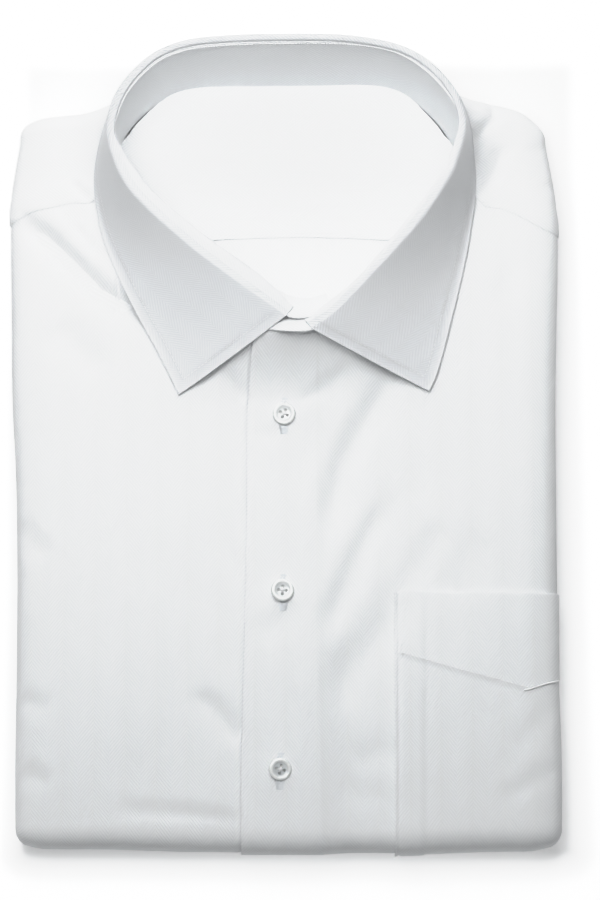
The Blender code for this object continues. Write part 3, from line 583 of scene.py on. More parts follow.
RING_GAP = 0.8
RIGHT_RING = front_ring(0, WIDEST_RIGHT, RIGHT_END)
LEFT_RING = front_ring(WIDEST_LEFT, LAST_SECTION, LEFT_END)
BACK_RING = ring_table(ring_points(WIDEST_RIGHT, WIDEST_LEFT, RING_GAP))
RING_RIGHT_X = ring_table(ring_points(0, BACK_MIDDLE, 0.0), 1)
RING_LEFT_X = ring_table(ring_points(BACK_MIDDLE, LAST_SECTION, 0.0), 1)
SEAM_READ_AT = 108.0


def seam_reading(q):
    """x at which a column reads the yoke seam: it stops where the side stands upright."""
    side = side_of(q)
    radius = edge_round(side, SEAM_READ_AT)
    limit = flat_limit(side, SEAM_READ_AT)
    over = np.clip((np.abs(q) - limit) / radius, 0.0, math.pi / 2)
    return side * (np.minimum(np.abs(q), limit) + radius * np.sin(over))


def front_start(side, q):
    """Upper edge of a front: the neckline inside the collar, the yoke seam outside it."""
    x = seam_reading(q)
    widest = abs(COLLAR[WIDEST_RIGHT if side < 0 else WIDEST_LEFT][3])
    seam = yoke_seam.at(np.abs(x), 0 if side < 0 else 1)
    ring = np.interp(x, *(RIGHT_RING if side < 0 else LEFT_RING))
    return np.where(x * side > widest, seam, ring)


def yoke_end(q):
    """Lower edge of the yoke: the back of the neckline, or the yoke seam on either side of it."""
    x = seam_reading(q)
    seam = np.where(x < 0, yoke_seam.at(np.abs(x), 0), yoke_seam.at(np.abs(x), 1))
    inside = (x > COLLAR[WIDEST_RIGHT][3]) & (x < COLLAR[WIDEST_LEFT][3])
    return np.where(inside, np.interp(x, *BACK_RING), seam - 0.8)


def turned_under(q, p):
    """0 on top of the body, 1 on its underside."""
    x = np.clip(q, -FOLD_READ_TO, FOLD_READ_TO)
    return smooth_step((hem_line(x) - p) / (math.pi * hem_radius(x)))


def left_lift(q, p):
    """How far the left front stands out, where it laps over the right front."""
    lift = LAP * fade_out((q - LIFT_FULL_TO) / (LIFT_GONE_AT - LIFT_FULL_TO))
    fade = smooth_step((yoke_seam.at(np.abs(q), 1) - p) / LIFT_FADE)
    return lift * fade * (1.0 - turned_under(q, p))


def right_lift(q, p):
    """How far the right front gives way on the underside, to leave the left front flat."""
    near, far = UNDERLAP_STEP
    return -LAP * smooth_step((q - far) / (near - far)) * turned_under(q, p)


# Making pieces

def to_metres(points):
    return (np.asarray(points) - ORIGIN) * MM


def grid_piece(columns, rows):
    """A flat grid of faces, and the place of each vertex from 0 to 1 across and along it."""
    mesh = bmesh.new()
    bmesh.ops.create_grid(mesh, x_segments=columns, y_segments=rows, size=0.5)
    spots = np.array([vertex.co for vertex in mesh.verts])
    return mesh, spots[:, 0] + 0.5, spots[:, 1] + 0.5


def spread(share, stops):
    """Reads a share from 0 to 1 as a place along stops (share, value), to put rows where detail is."""
    stops = np.array(stops)
    return np.interp(share, stops[:, 0], stops[:, 1])


def mesh_data(name, mesh):
    """Turns a bmesh into mesh data and frees it."""
    data = bpy.data.meshes.new(name)
    mesh.to_mesh(data)
    mesh.free()
    return data


def add_object(name, data):
    thing = bpy.data.objects.new(name, data)
    bpy.context.scene.collection.objects.link(thing)
    return thing


def add_piece(name, data, replaces=()):
    """A named object that rides on the shirt."""
    piece = add_object(name, data)
    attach(piece, "root")
    if replaces:
        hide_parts(*replaces)
    return piece


def finish_piece(name, mesh, material, replaces=()):
    """Turns a bmesh in metres into a piece."""
    data = mesh_data(name, mesh)
    data.shade_smooth()
    data.materials.append(material)
    return add_piece(name, data, replaces)


EDGE_BEVEL = 0.42
EDGE_ANGLE = 55


def lay_cloth(name, mesh, points, u, v, material, slot, replaces, flip=False, wall=CLOTH, marks=None):
    """Puts a grid's vertices in place, gives it its weave's coordinates in metres and its thickness."""
    for vertex, place in zip(mesh.verts, to_metres(points)):
        vertex.co = place
    if flip:
        bmesh.ops.reverse_faces(mesh, faces=mesh.faces)
    piece = finish_piece(name, mesh, material, replaces)
    data = piece.data
    corner = np.zeros(len(data.loops), dtype=np.int32)
    data.loops.foreach_get("vertex_index", corner)
    layer = data.uv_layers.new(name="weave")
    spots = np.stack([u[corner], v[corner]], axis=1) * MM
    layer.data.foreach_set("uv", spots.astype(np.float32).ravel())
    for mark, values in (marks or {}).items():
        attribute = data.attributes.new(mark, "FLOAT", "POINT")
        attribute.data.foreach_set("value", np.asarray(values, dtype=np.float32))
    thicken = piece.modifiers.new("thickness", "SOLIDIFY")
    thicken.thickness = wall * MM
    thicken.offset = -1.0
    soften = piece.modifiers.new("edge", "BEVEL")
    soften.width = wall * EDGE_BEVEL * MM
    soften.segments = 2
    soften.limit_method = "ANGLE"
    soften.angle_limit = math.radians(EDGE_ANGLE)
    return piece


def surface_normals(points, shape):
    """Unit normals of a grid of points that is given as a flat list."""
    grid = points.reshape(*shape, 3)
    along = np.gradient(grid, axis=0)
    across = np.gradient(grid, axis=1)
    normal = np.cross(across, along)
    normal /= np.maximum(np.linalg.norm(normal, axis=-1, keepdims=True), 1e-9)
    return normal.reshape(-1, 3)


# Materials

def shader_group(name, inputs, outputs):
    tree = bpy.data.node_groups.new(name, "ShaderNodeTree")
    for label, kind, value in inputs:
        socket = tree.interface.new_socket(label, in_out="INPUT", socket_type=kind)
        if value is not None:
            socket.default_value = value
    for label, kind in outputs:
        tree.interface.new_socket(label, in_out="OUTPUT", socket_type=kind)
    return tree, tree.nodes.new("NodeGroupInput"), tree.nodes.new("NodeGroupOutput")


class Wiring:
    """Short calls for the math nodes of one node tree."""

    def __init__(self, tree):
        self.tree = tree

    def math(self, operation, first, second=None, third=None, clamp=False):
        node = self.tree.nodes.new("ShaderNodeMath")
        node.operation = operation
        node.use_clamp = clamp
        for socket, value in zip(node.inputs, (first, second, third)):
            if value is None:
                continue
            if isinstance(value, (int, float)):
                socket.default_value = value
            else:
                self.tree.links.new(value, socket)
        return node.outputs[0]

    def node(self, kind, **values):
        node = self.tree.nodes.new(kind)
        for key, value in values.items():
            setattr(node, key, value)
        return node

    def link(self, source, target):
        self.tree.links.new(source, target)

    def noise(self, source, scale, detail, distortion=0.0):
        node = self.node("ShaderNodeTexNoise")
        node.inputs["Scale"].default_value = scale
        node.inputs["Detail"].default_value = detail
        node.inputs["Distortion"].default_value = distortion
        self.link(source, node.inputs["Vector"])
        return node.outputs["Fac"]

    def bump(self, height, distance, strength, shader):
        node = self.node("ShaderNodeBump")
        node.inputs["Distance"].default_value = distance * MM
        node.inputs["Strength"].default_value = strength
        self.link(height, node.inputs["Height"])
        self.link(node.outputs[0], shader.inputs["Normal"])

    def object_place(self):
        return self.node("ShaderNodeTexCoord").outputs["Object"]


def new_material(name, values):
    """A material, the wiring of its nodes and its shader, with the shader's fixed values set."""
    material = bpy.data.materials.new(name)
    material.use_nodes = True
    shader = material.node_tree.nodes["Principled BSDF"]
    for label, value in values.items():
        shader.inputs[label].default_value = value
    return material, Wiring(material.node_tree), shader


STRIPE = 7.0
TWILL_ALONG = 1.80
TWILL_SLOPE = 1.255
YARN = 0.29


def herringbone_group():
    """Height and shade of a herringbone twill from weave coordinates in metres."""
    tree, start, end = shader_group(
        "herringbone_weave",
        [("Weave", "NodeSocketVector", None)],
        [("Height", "NodeSocketFloat"), ("Shade", "NodeSocketFloat")])
    w = Wiring(tree)
    apart = w.node("ShaderNodeSeparateXYZ")
    w.link(start.outputs["Weave"], apart.inputs[0])
    u = w.math("MULTIPLY", apart.outputs[0], 1000.0)
    v = w.math("MULTIPLY", apart.outputs[1], 1000.0)
    zigzag = w.math("PINGPONG", u, STRIPE)
    parity = w.math("FLOORED_MODULO", w.math("FLOOR", w.math("DIVIDE", u, STRIPE)), 2.0)
    steps = w.math("DIVIDE", w.math("MULTIPLY_ADD", zigzag, TWILL_SLOPE, v), TWILL_ALONG)
    phase = w.math("MULTIPLY", w.math("MULTIPLY_ADD", parity, 0.5, steps), math.tau)
    twill = w.math("MULTIPLY_ADD", w.math("SINE", phase), 0.5, 0.5)
    across = w.math("SINE", w.math("MULTIPLY", u, math.tau / YARN))
    along = w.math("SINE", w.math("MULTIPLY", v, math.tau / YARN))
    yarn = w.math("MULTIPLY", across, along)
    uneven = w.noise(start.outputs["Weave"], 900.0, 2.0)
    slub = w.math("MULTIPLY_ADD", uneven, 0.6, 0.55)
    ridge = w.math("MULTIPLY", twill, slub)
    w.link(w.math("MULTIPLY_ADD", yarn, 0.10, ridge), end.inputs["Height"])
    w.link(w.math("MULTIPLY_ADD", yarn, 0.05, ridge, clamp=True), end.inputs["Shade"])
    return tree


def mix_color(w, factor, first, second):
    node = w.node("ShaderNodeMix", data_type="RGBA")
    if isinstance(factor, float):
        node.inputs[0].default_value = factor
    else:
        w.link(factor, node.inputs[0])
    for socket, value in ((node.inputs[6], first), (node.inputs[7], second)):
        if isinstance(value, tuple):
            socket.default_value = (*value, 1.0)
        else:
            w.link(value, socket)
    return node.outputs[2]


def cloth_material(name, weave, light, dark, relief, crisp):
    """White cotton with its herringbone; along the marked edges its grooves are coloured grey as painted
    shade, and crisp is how much the marked edges stand out.
    """
    material, w, shader = new_material(
        name, {"Specular IOR Level": 0.25, "Sheen Weight": 0.12, "Sheen Roughness": 0.5})
    coordinates = w.node("ShaderNodeUVMap", uv_map="weave")
    cloth = w.node("ShaderNodeGroup", node_tree=weave)
    w.link(coordinates.outputs[0], cloth.inputs["Weave"])
    shade = cloth.outputs["Shade"]
    mark = w.node("ShaderNodeAttribute", attribute_name="rim").outputs["Fac"]
    # Along the marked edges the weave's grooves are coloured grey: painted shade in the grooves.
    groove_painted_shade = w.math("MULTIPLY", mark, w.math("MULTIPLY_ADD", shade, -0.9, 0.65, clamp=True))
    color = mix_color(w, groove_painted_shade, mix_color(w, shade, dark, light), (0.60, 0.62, 0.64))
    cloud = w.noise(w.object_place(), 22.0, 3.0)
    clouded = w.math("MULTIPLY_ADD", cloud, 0.10, -0.03, clamp=True)
    w.link(mix_color(w, clouded, color, (0.70, 0.72, 0.75)), shader.inputs["Base Color"])
    crisper = w.math("MULTIPLY_ADD", mark, crisp, 1.0)
    w.bump(w.math("MULTIPLY", cloth.outputs["Height"], crisper), relief, 1.0, shader)
    w.link(w.math("MULTIPLY_ADD", shade, -0.08, 0.86), shader.inputs["Roughness"])
    return material


def thread_material(name, dark, light):
    """Spun sewing thread, a little glossier than the cloth."""
    material, w, shader = new_material(name, {"Roughness": 0.55})
    fibre = w.noise(w.object_place(), 5200.0, 1.0)
    w.link(mix_color(w, fibre, dark, light), shader.inputs["Base Color"])
    w.bump(fibre, 0.05, 0.5, shader)
    return material


def pearl_material():
    """Pearly button plastic: cloudy, polished, faintly green-grey in its depth."""
    material, w, shader = new_material("pearl_button", {
        "Coat Weight": 0.6,
        "Coat Roughness": 0.08,
        "Subsurface Weight": 0.25,
        "Subsurface Radius": (1.0, 1.0, 1.0),
        "Subsurface Scale": 0.8 * MM,
    })
    cloud = w.noise(w.object_place(), 260.0, 3.0, 1.2)
    ramp = w.node("ShaderNodeValToRGB")
    stops = ((0.34, (0.78, 0.80, 0.79, 1.0)), (0.66, (0.92, 0.93, 0.92, 1.0)))
    for stop, (position, color) in zip(ramp.color_ramp.elements, stops):
        stop.position = position
        stop.color = color
    w.link(cloud, ramp.inputs[0])
    # The centre mark colours the button's middle greyer.
    centre = w.node("ShaderNodeAttribute", attribute_name="centre").outputs["Fac"]
    w.link(mix_color(w, centre, ramp.outputs[0], (0.52, 0.55, 0.56)), shader.inputs["Base Color"])
    w.link(w.math("MULTIPLY_ADD", cloud, 0.12, 0.12), shader.inputs["Roughness"])
    return material


weave = herringbone_group()
SHIRTING = cloth_material(
    "white_herringbone", weave, (0.87, 0.88, 0.885), (0.80, 0.81, 0.82), 0.07, 0.0)
# The collar's cloth is the same white herringbone coloured greyer: painted shade for the sloping collar leaf.
COLLAR_CLOTH_PAINTED_SHADE = cloth_material(
    "collar_herringbone_painted_shade", weave, (0.765, 0.775, 0.785), (0.715, 0.725, 0.74), 0.05, 5.0)
THREAD = thread_material("white_thread", (0.80, 0.81, 0.82), (0.90, 0.90, 0.90))
HOLE_THREAD = thread_material("buttonhole_thread", (0.70, 0.725, 0.75), (0.79, 0.81, 0.83))
PEARL = pearl_material()


# The fronts, the yoke and the pocket

# Left front's folded-in facing: x of its edge and its drift, height of its step, and the hollow beyond it
FACING_X = 15.2
FACING_DRIFT = 0.012
FACING_DRIFT_FROM = 70.0
FACING_HIGH = 0.42
FACING_GAIN = 0.35
FACING_GAIN_FROM = -60.0
FACING_SAG = 1.6
FACING_SAG_FROM = -50.0
LOWER_FRONT = 60.0
PLACKET_ROLLED = 0.16
PLACKET_SOFT = 1.6
PLACKET_HOLLOW = 0.75
HOLLOW_TO = -10.0

# Stretches of a piece's rows on top, round its fold and on the underside: where each starts, its length
FRONT_ROWS = ((0.0, 0.74), (0.74, 0.10), (0.84, 0.16))
YOKE_ROWS = ((0.0, 0.42), (0.42, 0.26), (0.68, 0.32))
POCKET_ROWS = ((0.0, 0.84), (0.84, 0.16))
FRONT_STEPS = 290
FRONT_GUESS = 60.0
YOKE_GUESS = 140.0
# Strength of the painted shade in the weave's grooves near the fronts' tail.
TAIL_GROOVE_SHADE = 0.25
YOKE_READ = (-118.0, 116.0)
YOKE_LAPS_FROM = 78.0
YOKE_LAP = 0.72
YOKE_TUCK = 0.30


def front_relief(q, p):
    """The left front's folded-in facing, which makes a step down the front, and its soft edge."""
    beyond = q - (FACING_X - FACING_DRIFT * (p + FACING_DRIFT_FROM))
    high = FACING_HIGH + FACING_GAIN * smooth_step((FACING_GAIN_FROM - p) / LOWER_FRONT)
    step = high * fade_out((beyond + 0.7) / 1.4)
    rolled = PLACKET_ROLLED * fade_out((q - placket.at(p)) / PLACKET_SOFT)
    hollow = FACING_SAG * smooth_step(beyond / 12.0) * fade_out((beyond - 14.0) / 26.0)
    sag = hollow * smooth_step((FACING_SAG_FROM - p) / LOWER_FRONT)
    return (step - rolled - sag) * (1.0 - turned_under(q, p))


def under_placket(q, p):
    """The right front gives way along the left front's edge, so that the edge draws a thin dark line."""
    hollow = PLACKET_HOLLOW * smooth_step((q - placket.at(p) + 1.7) / 1.5)
    hollow = hollow * smooth_step((HOLLOW_TO - q) / 3.0 + 1.0)
    return -hollow * (1.0 - turned_under(q, p))


def full_reach(side, y):
    """Distance on the cloth from the middle, over the rounded side, to the end of the lip."""
    return flat_limit(side, y) + math.pi * edge_round(side, y) + LIP


def front_columns(side, share, p):
    """q across a front for a share from its inner edge to the end of its lip."""
    reach = full_reach(side, outline_y(side, p))
    inner = UNDERLAP_EDGE if side < 0 else placket.at(p)
    return inner + (side * reach - inner) * share


FRONT_STOPS = {
    -1: ((0.0, 0.0), (0.07, 0.150), (0.27, 0.205), (0.84, 0.82), (0.91, 0.868), (1.0, 1.0)),
    1: ((0.0, 0.0), (0.06, 0.020), (0.17, 0.160), (0.27, 0.205), (0.84, 0.82), (0.91, 0.868), (1.0, 1.0)),
}


def front_rows(side, share, q):
    """p down a front for a share from its upper edge, over the bottom fold, to the tail's end."""
    x = np.clip(q, -FOLD_READ_TO, FOLD_READ_TO)
    start = front_start(side, q)
    fold = hem_line(x)
    on_top, bent, beneath = (stretch(share, *part) for part in FRONT_ROWS)
    return start + (fold - start) * on_top - math.pi * hem_radius(x) * bent - (TAIL_END - fold) * beneath


def make_front(name, node, side, columns, peak, lift, relief):
    """A front; the slant of its weave turns at the q that peak gives."""
    mesh, across, along = grid_piece(columns, FRONT_STEPS)
    share = spread(across, FRONT_STOPS[side])
    q = front_columns(side, share, np.full_like(share, FRONT_GUESS))
    for _ in range(3):
        p = front_rows(side, along, q)
        q = front_columns(side, share, p)
    points = skin(q, p, lift(q, p) + relief(q, p))
    # Near the tail's end the rim mark paints shade into the weave's grooves.
    tail = smooth_step((turned_under(q, p) - 0.98) / 0.02)
    return lay_cloth(name, mesh, points, q - peak, p, SHIRTING, "shirting", (node,), flip=side > 0,
                     marks={"rim": TAIL_GROOVE_SHADE * tail})


right_front = make_front("right_front_cloth", "front_right", -1, 108, -30.9, right_lift, under_placket)
left_front = make_front("left_front_cloth", "front_left", 1, 116, -14.7, left_lift, front_relief)


def make_yoke():
    """The outer yoke, over both shoulders and the shoulder fold; its lower edge laps the fronts."""
    mesh, across, along = grid_piece(200, 76)
    share = across * 2.0 - 1.0
    side = side_of(share)
    on_top, bent, beneath = (stretch(along, *part) for part in YOKE_ROWS)
    p = np.full_like(share, YOKE_GUESS)
    for _ in range(3):
        q = share * full_reach(side, outline_y(side, p))
        x = np.clip(q, *YOKE_READ)
        end = yoke_end(q)
        fold = shoulder_line(x)
        p = end + (fold - end) * on_top + math.pi * shoulder_radius(x) * bent
        p = p + (fold - BACK_SEAM) * beneath
    lapped = (np.abs(q) > YOKE_LAPS_FROM) * 1.0
    lap = YOKE_LAP * lapped * fade_out((p - end - 6.0) / 8.0)
    tucked = YOKE_TUCK * lapped * fade_out((p - end) / 0.8)
    return lay_cloth("yoke_cloth", mesh, skin(q, p, lap - tucked), p, q, SHIRTING, "shirting", ("yoke",))


yoke = make_yoke()

# Panels inside the neck: their margin under the ring, the arch of their seam and the seam's lap
PANEL_MARGIN = 5.0
PANEL_GAP = 0.5
PANEL_SLIT = 1.9
PANEL_SLIT_FROM = 139.0
PANEL_SLIT_TO = 157.0
PANEL_WIDE_TO = 104.0
PANEL_RING_FROM = 150.0
PANEL_RING_HALF = 52.0
ARCH_RISE = 2.4
ARCH_DROP = 2.0
ARCH_MIDDLE = 5.0
ARCH_HALF = 45.0
LINING_LAP = 0.66
LINING_TUCK = 0.3
BACK_SUNK = 0.5


def neck_dip(x, y):
    """How far the panels inside the neck sink in the middle of the neck."""
    across = np.maximum(0.0, 1.0 - (x / NECK_HALF_WIDTH) ** 2)
    front = smooth_step((y - NECK_DIP_FROM) / (NECK_DIP_FULL - NECK_DIP_FROM))
    back = smooth_step((NECK_DIP_END - y) / (NECK_DIP_END - NECK_DIP_BACK))
    return NECK_DIP * across * front * back


def seam_arch(x):
    """The seam below the yoke lining rises a little in the middle."""
    return ARCH_RISE - ARCH_DROP * ((x - ARCH_MIDDLE) / ARCH_HALF) ** 2


def neck_floor(x, y):
    """Height of the panels seen inside the neck."""
    under_fronts = fade_out((y - UNDER_FRONTS_TO) / (LEVEL_FROM - UNDER_FRONTS_TO))
    return plain_height(x, y) - UNDER_FRONTS * under_fronts - neck_dip(x, y)


def neck_surface(x, y, lift):
    """Height of a panel seen inside the neck, with the slight unevenness of its cloth."""
    return neck_floor(x, y) + lift(x, y) + 0.8 * ripple(x * 0.8, y * 0.8, 2.0)


def make_neck_panel(name, node, first, last, columns, rows, lift, turned):
    """A panel seen inside the neck, between the two sides of the neckline."""
    mesh, across, along = grid_piece(columns, rows)
    y = first + (last - first) * along
    slit = smooth_step((y - PANEL_SLIT_FROM) / 6.0) * fade_out((y - PANEL_SLIT_TO) / 5.0)
    margin = PANEL_MARGIN * fade_out((y - PANEL_WIDE_TO) / 12.0) - PANEL_GAP - PANEL_SLIT * slit
    left = np.interp(y, *RING_RIGHT_X) - margin
    right = np.interp(y, *RING_LEFT_X) + margin
    x = left + (right - left) * across
    z = neck_surface(x, y, lift)
    inner = smooth_step((PANEL_RING_HALF - np.abs(x - NECK_MIDDLE)) / 14.0)
    to_ring = inner * (np.interp(x, *BACK_RING) - PANEL_GAP - LINING_END)
    y = y + to_ring * smooth_step((y - PANEL_RING_FROM) / (LINING_END - PANEL_RING_FROM))
    y = y + seam_arch(x) * fade_out(np.abs(y - BACK_SEAM) / 30.0)
    weave_at = (y, x) if turned else (x, y)
    return lay_cloth(name, mesh, np.stack([x, y, z], axis=-1), *weave_at, SHIRTING, "shirting", (node,))


def lining_lift(x, y):
    """The yoke lining laps the back by a seam's width, with a soft turned edge."""
    above = y - BACK_SEAM
    return LINING_LAP * fade_out((above - 7.0) / 5.0) - LINING_TUCK * fade_out(above + 1.5)


def back_lift(x, y):
    return -BACK_SUNK


lining = make_neck_panel("yoke_lining_cloth", "yoke_inner", BACK_SEAM - 1.5, LINING_END, 110, 64,
                         lining_lift, True)
back = make_neck_panel("back_cloth", "back", BACK_PANEL_END, BACK_SEAM + 2.0, 80, 36, back_lift, False)

# Pocket: its stitched seam, the ridge of its seam allowance and its soft edge
POCKET_SEAM_IN = 1.7
POCKET_SEAM_DEPTH = 0.58
ALLOWANCE_TO = 60.6
ALLOWANCE_OUT = 0.40
ALLOWANCE_GROOVE_AT = 62.0
ALLOWANCE_GROOVE = 0.14
POCKET_ROLLED = 0.05
POCKET_PEAK = 55.1
POCKET_STOPS = ((0.0, 0.0), (0.06, 0.02), (0.8, 0.80), (1.0, 1.0))


def pocket_band_y(q):
    return np.interp(q, [row[0] for row in POCKET_BAND], [row[1] for row in POCKET_BAND])


def pocket_out(q, p):
    """How far the pocket's surface lies out: its hem band is double, with an allowance ridge inside."""
    band = smooth_step((p - pocket_band_y(q) + 0.8) / 1.6)
    edge = np.minimum(q - POCKET_LEFT, POCKET_TOP - p)
    seam = POCKET_SEAM_DEPTH * hump(q - POCKET_LEFT - POCKET_SEAM_IN, 0.5)
    allowance = ALLOWANCE_OUT * fade_out((q - ALLOWANCE_TO) / 1.6)
    allowance = allowance - ALLOWANCE_GROOVE * hump(q - ALLOWANCE_GROOVE_AT, 0.8)
    rolled = POCKET_ROLLED * fade_out(edge / 0.9)
    return POCKET_OUT + BAND_OUT * band - seam + allowance - rolled


def pocket_point(q, p, above=0.0):
    return skin(q, p, left_lift(q, p) + pocket_out(q, p) + above)


def make_pocket():
    """The patch pocket, on the left front and round the side and the bottom fold with it."""
    mesh, across, along = grid_piece(76, 116)
    start = flat_limit(1.0, POCKET_TOP)
    end = start + math.radians(POCKET_WRAP) * edge_round(1.0, POCKET_TOP)
    q = POCKET_LEFT + (end - POCKET_LEFT) * spread(across, POCKET_STOPS)
    x = np.clip(q, 0.0, 118.0)
    fold = hem_line(x)
    on_top, bent = (stretch(along, *part) for part in POCKET_ROWS)
    p = POCKET_TOP + (fold - POCKET_TOP) * on_top - math.radians(POCKET_HEM_ANGLE) * hem_radius(x) * bent
    q = q + (flat_limit(1.0, outline_y(1.0, p)) - start) * smooth_step((q - 100.0) / 14.0)
    return lay_cloth("pocket_cloth", mesh, pocket_point(q, p), q - POCKET_PEAK, p, SHIRTING, "shirting",
                     ("pocket",), flip=True)


pocket = make_pocket()


# The hidden layers

# Edges of the hidden layers: the tongues that fill the rounded sides and the loose folds between them
TONGUE_ANGLES = np.radians(np.linspace(0, 180, 9))
TONGUE_WALL = 1.2
TONGUE_GAP = 0.8
TONGUE_SAG = SIDE_SAG + 0.5
TIP_ANGLES = np.radians((20, 55, 90, 125, 160))
TIP_INSET = 2.2
LAYERS = 4
LAYERS_FROM = -170.3
LAYERS_TO = 141.7
LAYER_STEPS = 150
SPOTS_ACROSS = 12


def layer_half(side, y, shade):
    """Edge of the hidden layers on one side, x and z from the top down: a tongue, loose folds, a tongue."""
    edge = float(side_x(side, y))
    radius = float(edge_round(side, y))
    total = float(plain_height(edge, y))
    tongue = radius - TONGUE_WALL - TONGUE_GAP
    root = edge - (radius + LIP + 1.0)
    slab_top = total - 2 * radius - 0.5
    layer = (2 * slab_top - total) / LAYERS
    fold = [(edge - radius + tongue * math.sin(a), total - radius + tongue * math.cos(a))
            for a in TONGUE_ANGLES]
    fold.append((root, fold[-1][1]))
    low = [(x, total - z) for x, z in reversed(fold)]
    sagged = [TONGUE_SAG * (1 + math.cos(a)) / 2 for a in TONGUE_ANGLES] + [0.0]
    points = [(x, z - sag) for (x, z), sag in zip(fold, sagged)]
    points.append((root, slab_top))
    for step in range(LAYERS):
        upper = slab_top - step * layer
        wave = 0.5 * math.sin(shade * 1.7 + 2.1 * step)
        tip = edge - TIP_INSET - wave - 0.35 * math.sin(shade * 0.6 + step * step)
        for angle in TIP_ANGLES:
            out, high = layer / 2 * math.sin(angle), layer * 0.5 * math.cos(angle)
            points.append((tip - layer / 2 + out, upper - layer / 2 + high))
        if step < LAYERS - 1:
            points.append((tip - 3.4, upper - layer))
    points.append((root, total - slab_top))
    return [(side * x, z) for x, z in points + low]


def make_layers():
    """Sleeves, cuffs, back and tail folded away: one rounded heap with soft folds at its edges."""
    mesh = bmesh.new()
    rings = []
    for i in range(LAYER_STEPS + 1):
        y = LAYERS_FROM + (LAYERS_TO - LAYERS_FROM) * i / LAYER_STEPS
        right = layer_half(-1.0, y, i * 0.12)
        left = layer_half(1.0, y, i * 0.10 + 4.0)
        width = left[0][0] - right[0][0]
        xs = [right[0][0] + width * k / SPOTS_ACROSS for k in range(1, SPOTS_ACROSS)]
        lower = [(x, 3.2) for x in reversed(xs)]
        upper = [(x, float(plain_height(x, y)) - 3.6 - float(neck_dip(x, y))) for x in xs]
        loop = [(x, y, z) for x, z in left + lower + list(reversed(right)) + upper]
        rings.append([mesh.verts.new(point) for point in to_metres(loop)])
    edges = [[mesh.edges.new((ring[k], ring[(k + 1) % len(ring)])) for k in range(len(ring))]
             for ring in rings]
    for lower_ring, upper_ring in zip(edges, edges[1:]):
        bmesh.ops.bridge_loops(mesh, edges=lower_ring + upper_ring)
    bulge_end(mesh, rings[0], -1.0, 9.0)
    bulge_end(mesh, rings[-1], 1.0, 5.0)
    bmesh.ops.recalc_face_normals(mesh, faces=mesh.faces)
    piece = finish_piece("folded_layers_cloth", mesh, SHIRTING, ("folded_layers",))
    data = piece.data
    layer = data.uv_layers.new(name="weave")
    for loop in data.loops:
        spot = data.vertices[loop.vertex_index].co
        layer.data[loop.index].uv = (spot.z + spot.x * 0.4, spot.y)
    return piece


def bulge_end(mesh, ring, turned, reach):
    """Closes an end of the heap with rings that draw in round the fold next to it."""
    middle = sum((vertex.co for vertex in ring), Vector()) / len(ring)
    places = [vertex.co.copy() for vertex in ring]
    for turn in np.radians((25, 50, 72, 84)):
        low = [mesh.edges.get((ring[k], ring[(k + 1) % len(ring)])) for k in range(len(ring))]
        ring = [mesh.verts.new((co.x, co.y + turned * reach * MM * math.sin(turn),
                                middle.z + (co.z - middle.z) * math.cos(turn))) for co in places]
        high = [mesh.edges.new((ring[k], ring[(k + 1) % len(ring)])) for k in range(len(ring))]
        bmesh.ops.bridge_loops(mesh, edges=low + high)
    mesh.faces.new(ring)


folded = make_layers()


# The collar

# Handles of the curve that the leaf falls along, from its fold and towards its edge: shares of width and drop
FALL_START = (0.28, 0.36)
FALL_END = (0.77, 0.93)
DENSE = 24


def leaf_section(index, count):
    """Dense points of leaf sections, from the stand over the fold to the edge, and the seam's place."""
    normal = outward(index)
    roll, out, drawn_in, sunk = (leaf_fall.at(index, column)[:, None] for column in range(4))
    fold = collar.point(index, 0, 3)
    edge = collar.point(index, 5, 8)
    edge[:, :2] -= normal * drawn_in
    edge[:, 2:] -= sunk
    flat = np.maximum(out, 0.0)
    centre = fold[:, :2] + normal * (np.minimum(out, 0.0) - roll)
    centre_z = fold[:, 2:] - roll
    plan = edge[:, :2] - centre - normal * (flat + roll * 0.7)
    drop = centre_z + roll * 0.7 - edge[:, 2:]
    width = np.linalg.norm(plan, axis=1, keepdims=True)
    leave = np.arctan2(width * FALL_START[0], drop * FALL_START[1])
    half = count // 2
    rising = math.pi - math.pi / 2 * np.linspace(0.0, 1.0, half)[None, :] + 0.0 * flat
    falling = math.pi / 2 + (leave - math.pi / 2) * np.linspace(0.0, 1.0, count - half)[None, :]
    angles = np.concatenate([rising, falling], axis=1)
    carried = np.concatenate([0.0 * rising, flat + 0.0 * falling], axis=1)
    path = np.empty((len(index), count, 3))
    for axis in range(2):
        path[:, :, axis] = centre[:, None, axis] + normal[:, None, axis] * (carried + roll * np.cos(angles))
    path[:, :, 2] = centre_z + roll * np.sin(angles)
    start = path[:, -1, :]
    drop = start[:, 2:] - edge[:, 2:]
    plan = edge[:, :2] - start[:, :2]
    first = start + np.concatenate([plan * FALL_START[0], -drop * FALL_START[1]], axis=1)
    second = start + np.concatenate([plan * FALL_END[0], -drop * FALL_END[1]], axis=1)
    t = np.linspace(0.0, 1.0, count * 3)[None, 1:, None]
    fall = ((1 - t) ** 3 * start[:, None] + 3 * (1 - t) ** 2 * t * first[:, None]
            + 3 * (1 - t) * t * t * second[:, None] + t ** 3 * edge[:, None])
    seam = np.maximum(math.pi / 2 * roll + flat - 2.3, 1.4)[:, 0]
    return np.concatenate([path, fall], axis=1), seam


SEAM_ROWS = np.array((-0.8, -0.5, -0.25, 0.0, 0.25, 0.5, 0.8))
ROLL_ROWS = 20
FALL_ROWS = 24
EDGE_ROWS = (7.0, 6.2, 5.6, 5.2, 4.9, 4.6, 4.2, 3.4, 2.4, 1.4, 0.7, 0.25, 0.0)


